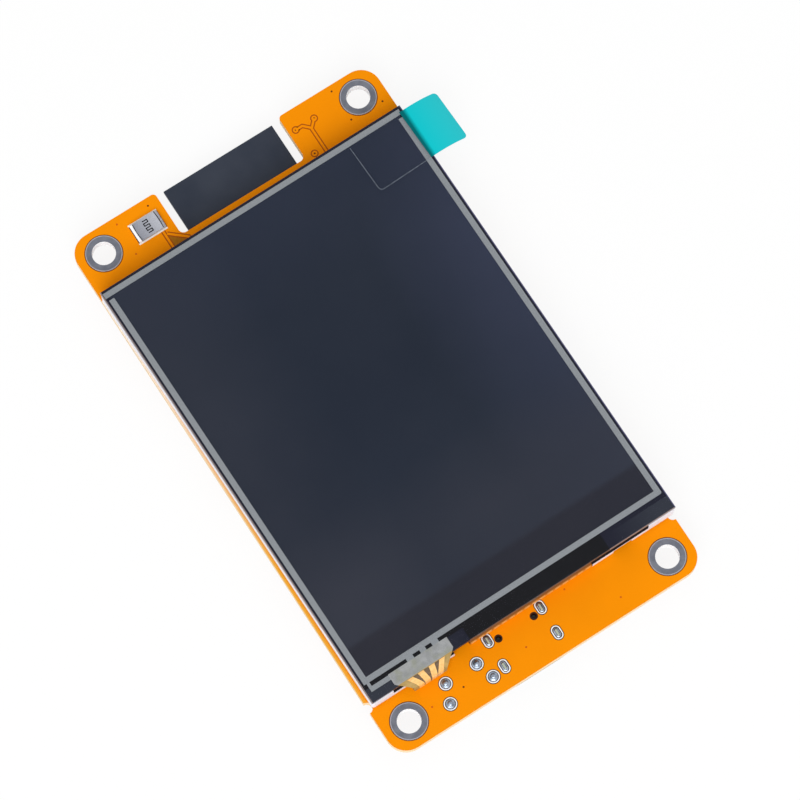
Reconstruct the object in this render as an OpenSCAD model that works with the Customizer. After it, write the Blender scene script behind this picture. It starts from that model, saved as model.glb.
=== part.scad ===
// A 2.8 inch touch display on its controller board.
// Origin: middle of the four mounting holes, on the board's front face.
// +Z points out of the screen, +Y towards the antenna, +X to the right of the screen.

/* [Circuit board] */
// Width of the board
board_w = 50; // [49:0.5:60]
// Length of the board
board_l = 86; // [85:0.5:100]
// Thickness of the board
board_t = 1.6; // [1.2:0.1:2.4]
// Radius of the board's corners
board_r = 3; // [1:0.25:3.5]
// Distance from the long edges to the mounting holes
hole_inset_x = 3.9; // [3.6:0.1:5]
// Distance from the short edges to the mounting holes
hole_inset_y = 3.65; // [3.4:0.05:5]
// Finished diameter of the mounting holes
hole_d = 3.4; // [2.6:0.1:3.8]
// Diameter of the plated pad round each mounting hole
pad_d = 5.25; // [4.8:0.05:6]
// Thickness of the plating in the holes and on their pads
plating_t = 0.06; // [0.04:0.01:0.1]

/* [Board cut-outs] */
// Width of the notch under the antenna
notch_w = 20.5; // [19.5:0.1:24]
// Depth of the notch from the board's end
notch_depth = 7.2; // [5:0.1:8]
// Sideways offset of the notch
notch_x = -0.25; // [-1:0.05:1]
// Radius in the notch's inner corners
notch_r = 0.8; // [0.3:0.1:1.5]
// Radius on the notch's lips
lip_r = 0.6; // [0.2:0.1:1.2]
// Radius of the nick in each long edge
nick_r = 0.8; // [0.4:0.05:1.2]
// Distance from the board's lower end to the nicks
nick_up = 8.25; // [7:0.25:10]

/* [Display placing] */
// Sideways offset of the display on the board
display_x = 0.15; // [-0.5:0.05:0.5]
// Distance from the board's top to the display
display_top_in = 8.97; // [8.5:0.01:10]
// Distance from the board's lower end to the display
display_end_in = 7.93; // [7.8:0.01:9]
// Distance from the board's sides to the display
display_side_in = 0.2; // [0:0.05:1]
// Turn of the display on the board, in degrees
display_skew = 0.47; // [-0.5:0.01:0.5]
// Thickness of the mounting tape
tape_t = 0.4; // [0.3:0.05:0.8]
// Width of each strip of mounting tape
tape_w = 5; // [3:0.5:8]
// Distance from the ends of the light guide to the mounting tape
tape_end_in = 3.8; // [2:0.1:10]

/* [Backlight] */
// Thickness of the frame's walls
frame_wall = 0.8; // [0.6:0.05:1]
// Corner radius of the frame
frame_r = 0.4; // [0.2:0.05:0.6]
// Width of the shelf that carries the glass
shelf_w = 1.5; // [1:0.1:2]
// Width of the shelf at the end with the LEDs
led_shelf_w = 2.4; // [2:0.1:3]
// How far the side walls stay below the touch glass
wall_drop = 0.8; // [0.4:0.05:1]
// Length of the frame's end with raised walls
raised_l = 12.2; // [8:0.1:16]
// Length of the slope between low and raised walls
ramp_l = 1.2; // [0.4:0.1:2]
// Height of the sill in the lower wall
sill_h = 1.2; // [1:0.1:2.2]
// Distance from the frame's left side to the slot over the sill
slot_left_in = 3.45; // [2.8:0.05:3.9]
// Distance from the frame's right side to the slot over the sill
slot_right_in = 4.45; // [2.8:0.05:6]
// Distance from the frame's right side to the gap in the sill
sill_gap_in = 8.65; // [7.8:0.05:9.3]
// Width of the gap in the sill
sill_gap_w = 3; // [1.5:0.1:3.4]
// Thickness of the bridge over the gap in the sill
bridge_t = 0.15; // [0.1:0.05:0.4]
// Thickness of the reflector film
reflector_t = 0.1; // [0.05:0.01:0.2]
// Thickness of the light guide
guide_t = 0.8; // [0.7:0.05:1.2]
// Thickness of the diffuser films
films_t = 0.5; // [0.3:0.05:0.7]
// Number of backlight LEDs
led_count = 4; // [3:1:6]
// Distance between the backlight LEDs
led_pitch = 9; // [5:0.5:10]
// Width of a backlight LED
led_w = 3; // [2:0.1:3.8]
// Depth of a backlight LED
led_d = 0.9; // [0.6:0.05:1.1]
// Height of a backlight LED
led_h = 0.6; // [0.4:0.05:0.65]
// Thickness of the strip under the LEDs
led_strip_t = 0.1; // [0.05:0.01:0.12]

/* [Display cell] */
// Thickness of each sheet of display glass
glass_t = 0.5; // [0.3:0.05:0.7]
// Thickness of each polariser
polariser_t = 0.15; // [0.1:0.01:0.25]
// Clearance round the glass and the light guide
glass_fit = 0.15; // [0.1:0.05:0.25]
// Clearance at the lower edge of the glass, where the flex leaves
glass_end_fit = 0.55; // [0.4:0.05:0.8]
// Length of the ledge below the colour filter
ledge_l = 6.8; // [5:0.1:8]
// How far the front polariser stays inside the glass
polariser_inset = 0.3; // [0.1:0.05:0.6]
// Length of the driver chip
driver_l = 18; // [12:0.5:20]
// Width of the driver chip
driver_w = 1.2; // [0.8:0.1:1.6]
// Distance from the lower edge of the glass to the driver chip
driver_up = 4.2; // [3:0.1:5.5]
// Thickness of the seal under the touch glass
seal_t = 0.2; // [0.1:0.05:0.3]
// Width of the seal under the touch glass
seal_w = 1.4; // [1:0.1:2]

/* [Display flex] */
// Width of the display flex
flex_w = 19.9; // [14:0.1:20]
// Sideways place of the display flex
flex_x = 1.1; // [0:0.1:1.6]
// Thickness of the display flex
flex_t = 0.12; // [0.08:0.01:0.2]
// Length of the flex that lies on the glass
flex_bond = 1; // [0.6:0.1:1.6]
// Length of the flex that lies on the board
flex_run = 7; // [4:0.5:12]
// Clearance left of the flex in the frame
flex_gap_left = 2.6; // [0.5:0.05:3]
// Clearance right of the flex in the frame
flex_gap_right = 0.15; // [0.1:0.05:0.5]

/* [Touch panel] */
// How far the touch panel stays inside the frame's ends
touch_end_inset = 0.12; // [0:0.02:0.4]
// How far the touch panel stays inside the frame's sides
touch_side_inset = 0; // [0:0.05:0.3]
// Thickness of the touch glass
touch_glass_t = 0.7; // [0.5:0.05:1.1]
// Thickness of the touch film
touch_film_t = 0.12; // [0.1:0.01:0.2]
// Thickness of the silver print
silver_t = 0.1; // [0.06:0.01:0.12]
// Width of the silver bars
bar_w = 0.82; // [0.5:0.02:1.2]
// Distance from the panel's sides to the bars
bar_side = 0.45; // [0.2:0.05:0.8]
// Distance from the panel's top to the bar
bar_top = 0.4; // [0.2:0.05:0.8]
// Distance from the panel's lower edge to the bar
bar_bottom = 2.63; // [2.4:0.01:3]
// Gap between the top bar and the side bars
bar_gap = 0.45; // [0.2:0.05:0.8]
// Extra length of the top bar at its left end
bar_reach = 0.25; // [0:0.05:0.3]
// Radius of the bars' lower right corner
bar_r = 0.3; // [0.1:0.05:0.45]
// Gap between the lower bar and the flex bond
bond_gap = 0.53; // [0.4:0.01:0.7]
// Width of the lead from the left bar
lead_w = 0.45; // [0.3:0.05:0.7]
// Width of the lead along the panel's lower edge
lead_run_w = 0.7; // [0.4:0.05:0.9]
// Thickness of the protective film
film_t = 0.06; // [0.05:0.01:0.1]
// How far the protective film stays inside the panel
film_inset = 0.2; // [0.1:0.05:0.5]

/* [Touch flex] */
// Distance from the panel's left side to the middle of the touch flex
tail_in = 8.7; // [8.4:0.1:9]
// Width of the flex where it is bonded
bond_w = 9.5; // [9.2:0.1:10]
// Width of the flex at the panel's edge
edge_w = 8.6; // [7:0.1:9]
// Width of the flex at the outside of its bend
neck_w = 5.2; // [4.8:0.1:7]
// How far the bend stands out from the panel
bend_out = 1.4; // [1:0.05:1.8]
// Length of the flex that returns under the display
tail_run = 3.4; // [2:0.1:4]

/* [Pull tab] */
// Width of the pull tab
tab_w = 7.9; // [6:0.1:10]
// Distance from the panel's top to the middle of the tab
tab_down = 4.9; // [4.6:0.1:8]
// Turn of the tab, in degrees
tab_turn = 1.4; // [-3:0.1:3]
// Length of the clear tape on the screen
tab_tape_l = 9.2; // [6:0.1:12]
// Width of the teal print that lies on the screen
tab_grip = 0.6; // [0.3:0.05:1.2]
// Length of the free end, along its curve
tab_free_l = 6; // [4:0.1:8]
// Radius to which the free end droops
tab_bend_r = 9.5; // [9:0.5:30]
// Thickness of the tab
tab_t = 0.12; // [0.08:0.01:0.2]
// Corner radius of the tab
tab_r = 0.6; // [0.3:0.05:1]

/* [Light sensor] */
// Distance from the left edge to the light sensor
sensor_in = 11.1; // [10.5:0.1:11.6]
// Distance from the board's top to the light sensor
sensor_down = 3.75; // [3.2:0.05:4.5]
// Length of the light sensor
sensor_l = 4.4; // [4:0.1:4.8]
// Width of the light sensor
sensor_w = 2.75; // [2:0.05:3]
// Height of the light sensor
sensor_h = 0.6; // [0.5:0.05:1.2]
// Length of its metal ends
sensor_end = 0.45; // [0.3:0.05:0.7]
// Thickness of the clear coat on the sensor
sensor_coat_t = 0.12; // [0.08:0.01:0.2]

/* [Radio module] */
// Width of the radio module
radio_w = 18; // [16:0.1:18.6]
// Length of the radio module
radio_l = 25.5; // [24:0.1:26]
// Thickness of the module's own board
radio_t = 0.8; // [0.6:0.05:1]
// Sideways offset of the radio module
radio_x = -0.15; // [-0.5:0.05:0.5]
// How far the module stays below the board's top edge
radio_setback = 0.1; // [0:0.05:0.5]
// Width of the shield can
can_w = 15.8; // [14:0.1:16]
// Length of the shield can
can_l = 17.6; // [16:0.1:17.8]
// Height of the shield can
can_h = 2.3; // [1.6:0.1:2.6]
// Thickness of the can's sheet
can_wall = 0.2; // [0.15:0.05:0.3]
// Corner radius of the can
can_r = 0.8; // [0.4:0.1:1.2]
// Distance from the module's lower edge to the can
can_up = 1; // [0.8:0.1:1.4]
// Width of the antenna trace
antenna_w = 0.5; // [0.3:0.05:0.6]
// Length of the antenna's folds
antenna_fold = 4; // [3:0.1:5]
// Distance between the antenna's folds
antenna_pitch = 1.6; // [1.3:0.05:1.8]
// Distance between the module's edge contacts
edge_pitch = 1.27; // [1.2:0.01:1.3]
// Radius of the module's edge contacts
edge_r = 0.4; // [0.3:0.05:0.45]
// Number of edge contacts on each long side
edge_count = 14; // [10:1:14]
// Number of edge contacts on the short side
edge_end_count = 10; // [6:1:11]

/* [Data ports] */
// How far the ports' mouths stay inside the board's edge
port_setback = 0.4; // [0:0.05:1]
// Sideways place of the wide port
wide_x = -1.75; // [-2.2:0.05:2]
// Width of the wide port's shell
wide_w = 8.94; // [8.8:0.02:9.2]
// Height of the wide port's shell
wide_h = 3.26; // [3.1:0.02:3.3]
// Length of the wide port's shell
wide_l = 7.3; // [7:0.1:8]
// Distance from the wide port's mouth to its front legs
wide_leg_y = 2.6; // [2.2:0.05:3]
// Distance between the wide port's front and rear legs
wide_leg_dy = 4.18; // [3.9:0.02:4.2]
// Distance from the rear legs to the locating pegs
wide_peg_dy = 0.53; // [0.4:0.01:0.7]
// Distance between the locating pegs
wide_peg_dx = 5.78; // [5.4:0.02:6]
// Sideways place of the small port
small_x = -11.6; // [-12.5:0.05:-11.3]
// Width of the small port's shell
small_w = 7.5; // [7.2:0.05:7.6]
// Height of the small port's shell
small_h = 2.6; // [2.4:0.05:2.8]
// Length of the small port's shell
small_l = 5.2; // [5:0.05:5.8]
// Distance from the small port's mouth to its front legs
small_leg_y = 2.2; // [1.8:0.05:2.3]
// Distance between the small port's front and rear legs
small_leg_dy = 2.7; // [2.5:0.05:2.75]
// Distance between the small port's front legs
small_leg_dx = 6.95; // [6.9:0.05:7.05]
// Distance between the small port's rear legs
small_rear_dx = 5.05; // [4.6:0.05:5.1]
// Thickness of the ports' shells
shell_t = 0.3; // [0.2:0.02:0.34]
// Length of a port's leg along the port
leg_l = 1; // [0.8:0.05:1.2]
// Clearance of the legs in their slots
leg_fit = 0.2; // [0.15:0.05:0.3]
// Clearance of the inserts in their shells
insert_fit = 0.05; // [0.03:0.01:0.1]

/* [Solder joints] */
// Width of the round joints
joint_d = 1.85; // [1.5:0.05:2]
// Width of the oval joints
oval_w = 1.35; // [1.1:0.05:1.5]
// Height of the joints on the front face
joint_h = 0.3; // [0.2:0.05:0.6]

/* [Memory card slot] */
// Width of the card slot
card_w = 14.6; // [14:0.1:15]
// Length of the card slot
card_l = 14.7; // [14:0.1:15.5]
// Height of the card slot
card_h = 1.85; // [1.6:0.05:2.2]
// Thickness of the slot's steel cover
card_wall = 0.2; // [0.15:0.05:0.25]
// Thickness of the slot's base
card_base_t = 0.5; // [0.4:0.05:0.6]
// Place of the card slot along the right edge
card_y = -8; // [-9:0.5:-6]
// How far the slot's mouth stays inside the board's edge
card_setback = 0.2; // [0:0.05:0.6]

/* [Wire sockets] */
// Distance between the socket pins
pin_pitch = 1.25; // [1.2:0.01:1.3]
// Distance from the end pins to the socket's sides
socket_side = 1.5; // [1.4:0.05:1.6]
// Height of the wire sockets
socket_h = 3.4; // [3.1:0.05:3.6]
// Depth of the wire sockets
socket_d = 4.2; // [3.8:0.05:4.6]
// Wall of the wire sockets
socket_wall = 0.5; // [0.4:0.05:0.55]
// Depth of the wire sockets' mouths
socket_mouth = 3.2; // [2.6:0.1:3.3]
// How far the sockets stay inside the board's edge
socket_setback = 1; // [0:0.05:1.2]
// Thickness of the pins
pin_t = 0.32; // [0.25:0.01:0.4]
// Place of the power socket along the lower edge
power_x = 12; // [11:0.5:12.5]
// Place of the sensor socket along the left edge
sensor_socket_y = -5; // [-8:0.5:-3]
// Place of the input and output socket along the left edge
io_socket_y = 9.5; // [8:0.5:12]
// Distance from the board's top to the speaker socket
speaker_down = 21.5; // [20:0.5:23]

/* [Push switches] */
// Distance from the left edge to the switches
switch_in = 7.5; // [6.5:0.25:10]
// Distance from the board's top to the boot switch
boot_down = 12; // [11:0.25:13]
// Distance from the boot switch to the reset switch
switch_pitch = 7.5; // [6:0.25:9]
// Length of a switch
switch_l = 6; // [5.6:0.1:6.4]
// Width of a switch
switch_w = 3.5; // [3.4:0.05:4]
// Height of a switch's base
switch_base_h = 1.6; // [1.4:0.05:1.8]
// Thickness of a switch's steel cover
switch_cover_t = 0.2; // [0.15:0.05:0.25]
// Diameter of a button's stem
stem_d = 1.6; // [1.2:0.05:1.8]
// How far a stem stands out of its cover
stem_out = 0.8; // [0.5:0.05:1]
// Diameter of the flange that keeps a button in
flange_d = 2.4; // [2.2:0.05:2.6]
// Thickness of the flange
flange_t = 0.4; // [0.3:0.05:0.5]
// Travel of a button
travel = 0.25; // [0.15:0.05:0.3]
// Clearance round a button
button_fit = 0.15; // [0.1:0.05:0.2]
// Thickness of the snap dome
dome_t = 0.08; // [0.06:0.01:0.1]

/* [Small parts] */
// Thickness of the chips' leads
lead_t = 0.2; // [0.12:0.01:0.25]
// Length of the leads' feet
foot_l = 0.6; // [0.4:0.05:0.7]
// Gap between a chip's body and the board
standoff = 0.1; // [0.05:0.01:0.15]
// Length of the capacitors and resistors
passive_l = 1.6; // [1.4:0.05:1.8]
// Width of the capacitors and resistors
passive_w = 0.8; // [0.6:0.05:0.9]
// Length of their metal ends
passive_end = 0.35; // [0.2:0.05:0.4]
// Step between their bodies and their metal ends
passive_rim = 0.05; // [0.02:0.01:0.1]
// Height of a capacitor
capacitor_h = 0.8; // [0.6:0.05:1]
// Height of a resistor
resistor_h = 0.45; // [0.3:0.05:0.6]
// Width of the status LED
status_w = 3.5; // [3:0.1:5]
// Height of the status LED
status_h = 1.6; // [1.2:0.1:2]

/* [Hidden] */
$fn = 64;
// Small overlap that lets a cut pass a face
past = 0.5;

// Levels of the display's layers above the board's front face
reflector_top = tape_t + reflector_t;
guide_top = reflector_top + guide_t;
films_top = guide_top + films_t;
shelf_z = films_top + polariser_t;
tft_top = shelf_z + glass_t;
cell_top = tft_top + glass_t;
front_top = cell_top + polariser_t;
touch_z = front_top + seal_t;
touch_glass_top = touch_z + touch_glass_t;
silver_top = touch_glass_top + silver_t;
touch_top = silver_top + touch_film_t;
film_top = touch_top + film_t;

// Places on the board
hole_dx = board_w - 2 * hole_inset_x;
hole_dy = board_l - 2 * hole_inset_y;
port_y = -board_l / 2 + port_setback;
wide_leg_dx = wide_w - shell_t;
wide_peg_y = wide_leg_y + wide_leg_dy - wide_peg_dy;
sensor_x = -board_w / 2 + sensor_in;
sensor_y = board_l / 2 - sensor_down;
radio_y = board_l / 2 - radio_setback - radio_l;
switch_x = -board_w / 2 + switch_in;
boot_y = board_l / 2 - boot_down;
reset_y = boot_y - switch_pitch;
speaker_y = board_l / 2 - speaker_down;

// Backlight frame on the board
frame_w = board_w - 2 * display_side_in;
frame_l = board_l - display_top_in - display_end_in;
display_y = (display_end_in - display_top_in) / 2;

// Light guide's well and the glass, inside the frame
well_w = frame_w - 2 * (frame_wall + shelf_w);
well_y0 = -frame_l / 2 + frame_wall + led_shelf_w;
well_y1 = frame_l / 2 - frame_wall - shelf_w;
guide_y0 = well_y0 + led_d + 2 * glass_fit;
tape_l = well_y1 - well_y0 - 2 * tape_end_in;
glass_w = frame_w - 2 * (frame_wall + glass_fit);
glass_y0 = -frame_l / 2 + frame_wall + glass_end_fit;
glass_y1 = frame_l / 2 - frame_wall - glass_fit;
filter_y0 = glass_y0 + ledge_l;

// Touch panel and its bars
touch_w = frame_w - 2 * touch_side_inset;
touch_l = frame_l - 2 * touch_end_inset;
bar_x = touch_w / 2 - bar_side;
bar_y0 = -touch_l / 2 + bar_bottom;
bar_y1 = touch_l / 2 - bar_top;
bond_y1 = bar_y0 - bond_gap;
tail_x = tail_in - touch_w / 2;
tab_y = touch_l / 2 - tab_down;
// Each tab between the lower bar and the flex bond: offset from the flex's middle, and width
bond_tabs = [[-1, 1.1], [1.1, 0.9], [3.05, 1.05]];

// Push switch levels, measured from the board's back face
switch_well_r = flange_d / 2 + button_fit;
flange_top = switch_base_h;
flange_z = flange_top - flange_t;
switch_floor = flange_z - travel - dome_t - button_fit;

// Rows of small parts on the back, each tied to the edge, port or chip that it serves
module_row = radio_y - 2.4;
amplifier_row = speaker_y - 0.5;
status_row = board_l / 2 - 12;
port_row = -board_l / 2 + 11.5;
serial_row = -board_l / 2 + 21;
supply_row = -board_l / 2 + 16.5;
switch_row = switch_x + 5;

// Chips: x, y, turn, body length, width and height, pins a side, pin pitch
serial_chip = [-8, serial_row, 0, 9.9, 3.9, 1.5, 8, 1.27];
touch_chip = [-9, 1, 90, 5, 4.4, 1.1, 8, 0.65];
amplifier_chip = [13.2, amplifier_row, 90, 4.9, 3.9, 1.5, 4, 1.27];
chips = [serial_chip, touch_chip, amplifier_chip];
// Regulator and the columns of parts beside it, tied to the board's right side
supply_in = 10.5;
supply_dx = 6;
regulator_x = board_w / 2 - supply_in;
supply_col = regulator_x - supply_dx;
filter_col = regulator_x + supply_dx;
// Regulator: x, y, body length, width and height
regulator_at = [regulator_x, supply_row, 6.5, 3.5, 1.7];
regulator_lead_w = 0.75;
regulator_pitch = 2.3;
regulator_tab_w = 3;
// Columns of small parts, and the steps between them
part_step = 3;
row_step = 2;
supply_rise = 3.5;
serial_col = -15;
transistor_col = 3.5;
port_col = -1;
port_rise = 2.5;
status_col = 12.5;
pull_rows = [8, 5.5];
pull_cols = [-2, 1.5];
port_cols = [-3.5, 2.5];
module_cols = [-13, -9.5, 3, 6, 9.5];
speaker_cols = [14.5, 18.5];
speaker_drop = 6;
boot_cols = [-16, -12.5];
boot_rise = 9;
// Transistors: x, y of each, then the body's length, width and height
transistor_at = [[transistor_col, serial_row + part_step], [transistor_col, serial_row - row_step],
                 [port_col, port_row + port_rise]];
transistor_size = [2.9, 1.3, 1];
transistor_pitch = 0.95;
transistor_lead_w = 0.4;
// Capacitors and resistors: x, y, turn
capacitor_at = concat([for (i = [0 : 2]) [supply_col, supply_row + supply_rise - i * part_step, 90]],
                      [for (i = [0 : 1]) [filter_col, supply_row + supply_rise - i * part_step, 0]],
                      [for (i = [0 : 1]) [serial_col, serial_row + i * part_step, 90]],
                      [for (x = module_cols) [x, module_row, 0]],
                      [[switch_row, reset_y - supply_rise, 90]]);
resistor_at = concat([for (i = [-1 : 1]) [status_col, status_row + i * row_step, 0]],
                     [for (x = pull_cols, y = pull_rows) [x, y, 0]],
                     [for (x = port_cols) [x, port_row, 0]],
                     [for (y = [boot_y, reset_y]) [switch_row, y, 90]],
                     [for (x = speaker_cols) [x, amplifier_row - speaker_drop, 0]],
                     [for (x = boot_cols) [x, serial_row + boot_rise, 0]]);
status_at = [18, status_row];

// Rectangle with round corners
module rounded_rect(w, l, r) {
    square([w - 2 * r, l], center = true);
    square([w, l - 2 * r], center = true);
    for (sx = [-1, 1], sy = [-1, 1]) translate([sx * (w / 2 - r), sy * (l / 2 - r)]) circle(r);
}

// Slot with half-round ends, long side along Y
module stadium(w, l) {
    square([w, l - w], center = true);
    for (s = [-1, 1]) translate([0, s * (l - w) / 2]) circle(w / 2);
}

// Plate between two levels and two Y places, w wide about the middle
module layer(w, y0, y1, z0, z1) {
    translate([-w / 2, y0, z0]) cube([w, y1 - y0, z1 - z0]);
}

// Extrudes a profile drawn in Y and Z along X, about the middle
module along_x(w) {
    rotate([90, 0, 90]) linear_extrude(w, center = true) children();
}

// Extrudes a profile drawn in X and Z along Y, about the middle
module along_y(l) {
    rotate([90, 0, 0]) linear_extrude(l, center = true) children();
}

// Places a child in the display's own frame
module on_display() {
    translate([display_x, display_y, 0]) rotate([0, 0, display_skew]) children();
}

// Turns a child drawn upwards from a table so that it stands on the board's back face
module on_back(x = 0, y = 0, turn = 0) {
    translate([x, y, -board_t]) mirror([0, 0, 1]) rotate([0, 0, turn]) children();
}

// Repeats a child at the four mounting holes
module at_holes() {
    for (sx = [-1, 1], sy = [-1, 1]) translate([sx * hole_dx / 2, sy * hole_dy / 2]) children();
}

// Repeats a child at the wide port's four legs
module at_wide_legs() {
    for (sx = [-1, 1], y = [wide_leg_y, wide_leg_y + wide_leg_dy])
        translate([wide_x + sx * wide_leg_dx / 2, port_y + y]) children();
}

// Repeats a child at the small port's four legs
module at_small_legs() {
    for (sx = [-1, 1]) {
        translate([small_x + sx * small_leg_dx / 2, port_y + small_leg_y]) children();
        translate([small_x + sx * small_rear_dx / 2, port_y + small_leg_y + small_leg_dy]) children();
    }
}

// Repeats a child at the wide port's two pegs
module at_pegs() {
    for (sx = [-1, 1])
        translate([wide_x + sx * wide_peg_dx / 2, port_y + wide_peg_y]) children();
}

// Circuit board
peg_d = 0.6;
peg_hole_d = peg_d + 4 * insert_fit;
slot_w = shell_t + 2 * leg_fit;
slot_l = leg_l + 2 * leg_fit;
small_hole_d = leg_l + leg_fit;
rim_w = 0.15;
tip_rise = 0.05;

module notch_outline() {
    open_l = notch_depth + 2 * notch_r;
    translate([notch_x, board_l / 2 - notch_depth + open_l / 2]) rounded_rect(notch_w, open_l, notch_r);
    for (s = [-1, 1]) translate([notch_x + s * notch_w / 2, board_l / 2]) difference() {
        translate([s * (lip_r - past) / 2, (past - lip_r) / 2]) square(lip_r + past, center = true);
        translate([s * lip_r, -lip_r]) circle(lip_r);
    }
}

module circuit_board() {
    color("darkorange") translate([0, 0, -board_t]) linear_extrude(board_t) difference() {
        rounded_rect(board_w, board_l, board_r);
        notch_outline();
        for (s = [-1, 1]) translate([s * board_w / 2, -board_l / 2 + nick_up]) circle(nick_r);
        at_holes() circle(hole_d / 2 + plating_t);
        at_wide_legs() stadium(slot_w, slot_l);
        at_small_legs() circle(small_hole_d / 2);
        at_pegs() circle(peg_hole_d / 2);
    }
}

module plated_holes() {
    inner = hole_d / 2;
    outer = inner + plating_t;
    back = -board_t;
    color("slategray") at_holes() rotate_extrude() polygon([
        [inner, back - plating_t], [pad_d / 2, back - plating_t], [pad_d / 2, back], [outer, back],
        [outer, 0], [pad_d / 2, 0], [pad_d / 2, plating_t], [inner, plating_t]]);
}

// Solder joint's half section: a flat rim, a hollow slope and the rounded end of the leg
module joint_profile(r, tip_r) {
    slope = r - rim_w - tip_r;
    rise = joint_h - plating_t;
    polygon([[0, 0], [r, 0], [r, plating_t], [r - rim_w, plating_t],
             for (a = [18 : 18 : 72]) [tip_r + slope * (1 - sin(a)), joint_h - rise * cos(a)],
             [tip_r, joint_h], [tip_r / 2, joint_h + tip_rise], [0, joint_h + tip_rise]]);
}

module round_joint() {
    rotate_extrude() joint_profile(joint_d / 2, leg_l / 2 - leg_fit);
}

module oval_joint() {
    reach = (slot_l - slot_w) / 2;
    for (s = [0, 1]) rotate([0, 0, 180 * s]) translate([0, reach, 0])
        rotate_extrude(angle = 180) joint_profile(oval_w / 2, shell_t / 2);
    rotate([90, 0, 0]) linear_extrude(2 * reach, center = true)
        for (s = [0, 1]) mirror([s, 0]) joint_profile(oval_w / 2, shell_t / 2);
}

module solder_joints() {
    color("silver") {
        at_small_legs() round_joint();
        at_wide_legs() oval_joint();
    }
}

// Light sensor on the front face
module light_sensor() {
    mid_l = sensor_l - 2 * sensor_end;
    coat_r = sensor_w;
    color("lightgray") translate([sensor_x, sensor_y, 0]) {
        layer(mid_l, -sensor_w / 2, sensor_w / 2, 0, sensor_h - sensor_coat_t);
        translate([0, 0, sensor_h - sensor_coat_t]) linear_extrude(sensor_coat_t) intersection() {
            square([mid_l, sensor_w], center = true);
            translate([coat_r - mid_l / 2, 0]) circle(coat_r);
        }
    }
}

module light_sensor_ends() {
    color("whitesmoke") for (s = [-1, 1])
        translate([sensor_x + s * (sensor_l - sensor_end) / 2, sensor_y, 0])
            layer(sensor_end, -sensor_w / 2, sensor_w / 2, 0, sensor_h - sensor_coat_t / 2);
}

// Display, from the board up
module mounting_tape() {
    color("gainsboro") on_display() for (s = [-1, 1])
        translate([s * (well_w - tape_w) / 2, (well_y0 + well_y1) / 2, 0])
            layer(tape_w, -tape_l / 2, tape_l / 2, 0, tape_t);
}

module reflector_film() {
    color("white") on_display()
        layer(frame_w - 2 * glass_fit, glass_y0 + glass_fit, frame_l / 2 - glass_fit, tape_t, reflector_top);
}

// Side view of what is cut away above the low walls
module wall_cut() {
    low = touch_z - wall_drop;
    step_y = -frame_l / 2 + raised_l;
    polygon([[step_y, touch_z + past], [step_y, touch_z], [step_y + ramp_l, low],
             [frame_l, low], [frame_l, touch_z + past]]);
}

module backlight_frame() {
    end_y = -frame_l / 2;
    sill_z = reflector_top + sill_h;
    slot_x0 = slot_left_in - frame_w / 2;
    slot_x1 = frame_w / 2 - slot_right_in;
    mouth_w = flex_w + flex_gap_left + flex_gap_right;
    mouth_x = flex_x + (flex_gap_right - flex_gap_left) / 2;
    color("white") on_display() difference() {
        translate([0, 0, reflector_top]) linear_extrude(touch_z - reflector_top)
            rounded_rect(frame_w, frame_l, frame_r);
        layer(well_w, well_y0, well_y1, 0, touch_z + past);
        layer(glass_w + 2 * glass_fit, end_y + frame_wall, glass_y1 + glass_fit, shelf_z, touch_z + past);
        along_x(frame_w + 2 * past) wall_cut();
        translate([slot_x0, end_y - past, sill_z]) cube([slot_x1 - slot_x0, frame_wall + 2 * past, touch_z]);
        translate([mouth_x, 0, 0]) layer(mouth_w, end_y - past, glass_y0, 0, touch_z + past);
        translate([frame_w / 2 - sill_gap_in, 0, 0])
            layer(sill_gap_w, end_y - past, end_y + frame_wall, 0, sill_z - bridge_t);
    }
}

module led_strip() {
    color("khaki") on_display()
        layer(well_w - 2 * glass_fit, well_y0 + glass_fit, guide_y0 - glass_fit,
              reflector_top, reflector_top + led_strip_t);
}

module backlight_leds() {
    z = reflector_top + led_strip_t;
    color("lemonchiffon") on_display() for (i = [0 : led_count - 1])
        translate([(i - (led_count - 1) / 2) * led_pitch, 0, 0])
            layer(led_w, well_y0 + glass_fit, well_y0 + glass_fit + led_d, z, z + led_h);
}

module light_guide() {
    color("azure") on_display()
        layer(well_w - 2 * glass_fit, guide_y0, well_y1 - glass_fit, reflector_top, guide_top);
}

module diffuser_films() {
    color("snow") on_display()
        layer(well_w - 2 * glass_fit, guide_y0, well_y1 - glass_fit, guide_top, films_top);
}

module rear_polariser() {
    color("dimgray") on_display()
        layer(well_w - 2 * glass_fit, guide_y0, well_y1 - glass_fit, films_top, shelf_z);
}

module tft_glass() {
    color("lightsteelblue") on_display() layer(glass_w, glass_y0, glass_y1, shelf_z, tft_top);
}

module colour_filter_glass() {
    color("slategray") on_display() layer(glass_w, filter_y0, glass_y1, tft_top, cell_top);
}

module front_polariser() {
    inset = polariser_inset;
    color([0.12, 0.14, 0.19]) on_display()
        layer(glass_w - 2 * inset, filter_y0 + inset, glass_y1 - inset, cell_top, front_top);
}

module driver_chip() {
    y = glass_y0 + driver_up;
    color("black") on_display() translate([flex_x, 0, 0])
        layer(driver_l, y - driver_w / 2, y + driver_w / 2, tft_top, cell_top);
}

module ledge_tape() {
    color("black") on_display() layer(glass_w, glass_y0, filter_y0, cell_top, front_top);
}

// Side view of the flex: on the glass, round its bend and back along the board
module flex_profile() {
    r = (tft_top + flex_t) / 2;
    bend_y = glass_y0 - flex_t;
    translate([bend_y, r]) intersection() {
        difference() {
            circle(r);
            circle(r - flex_t);
        }
        translate([-2 * r, -2 * r]) square([2 * r, 4 * r]);
    }
    translate([bend_y, tft_top]) square([flex_bond + flex_t, flex_t]);
    translate([bend_y, 0]) square([flex_run, flex_t]);
}

module display_flex() {
    color("peru") on_display() translate([flex_x, 0, 0]) along_x(flex_w) flex_profile();
}

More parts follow.
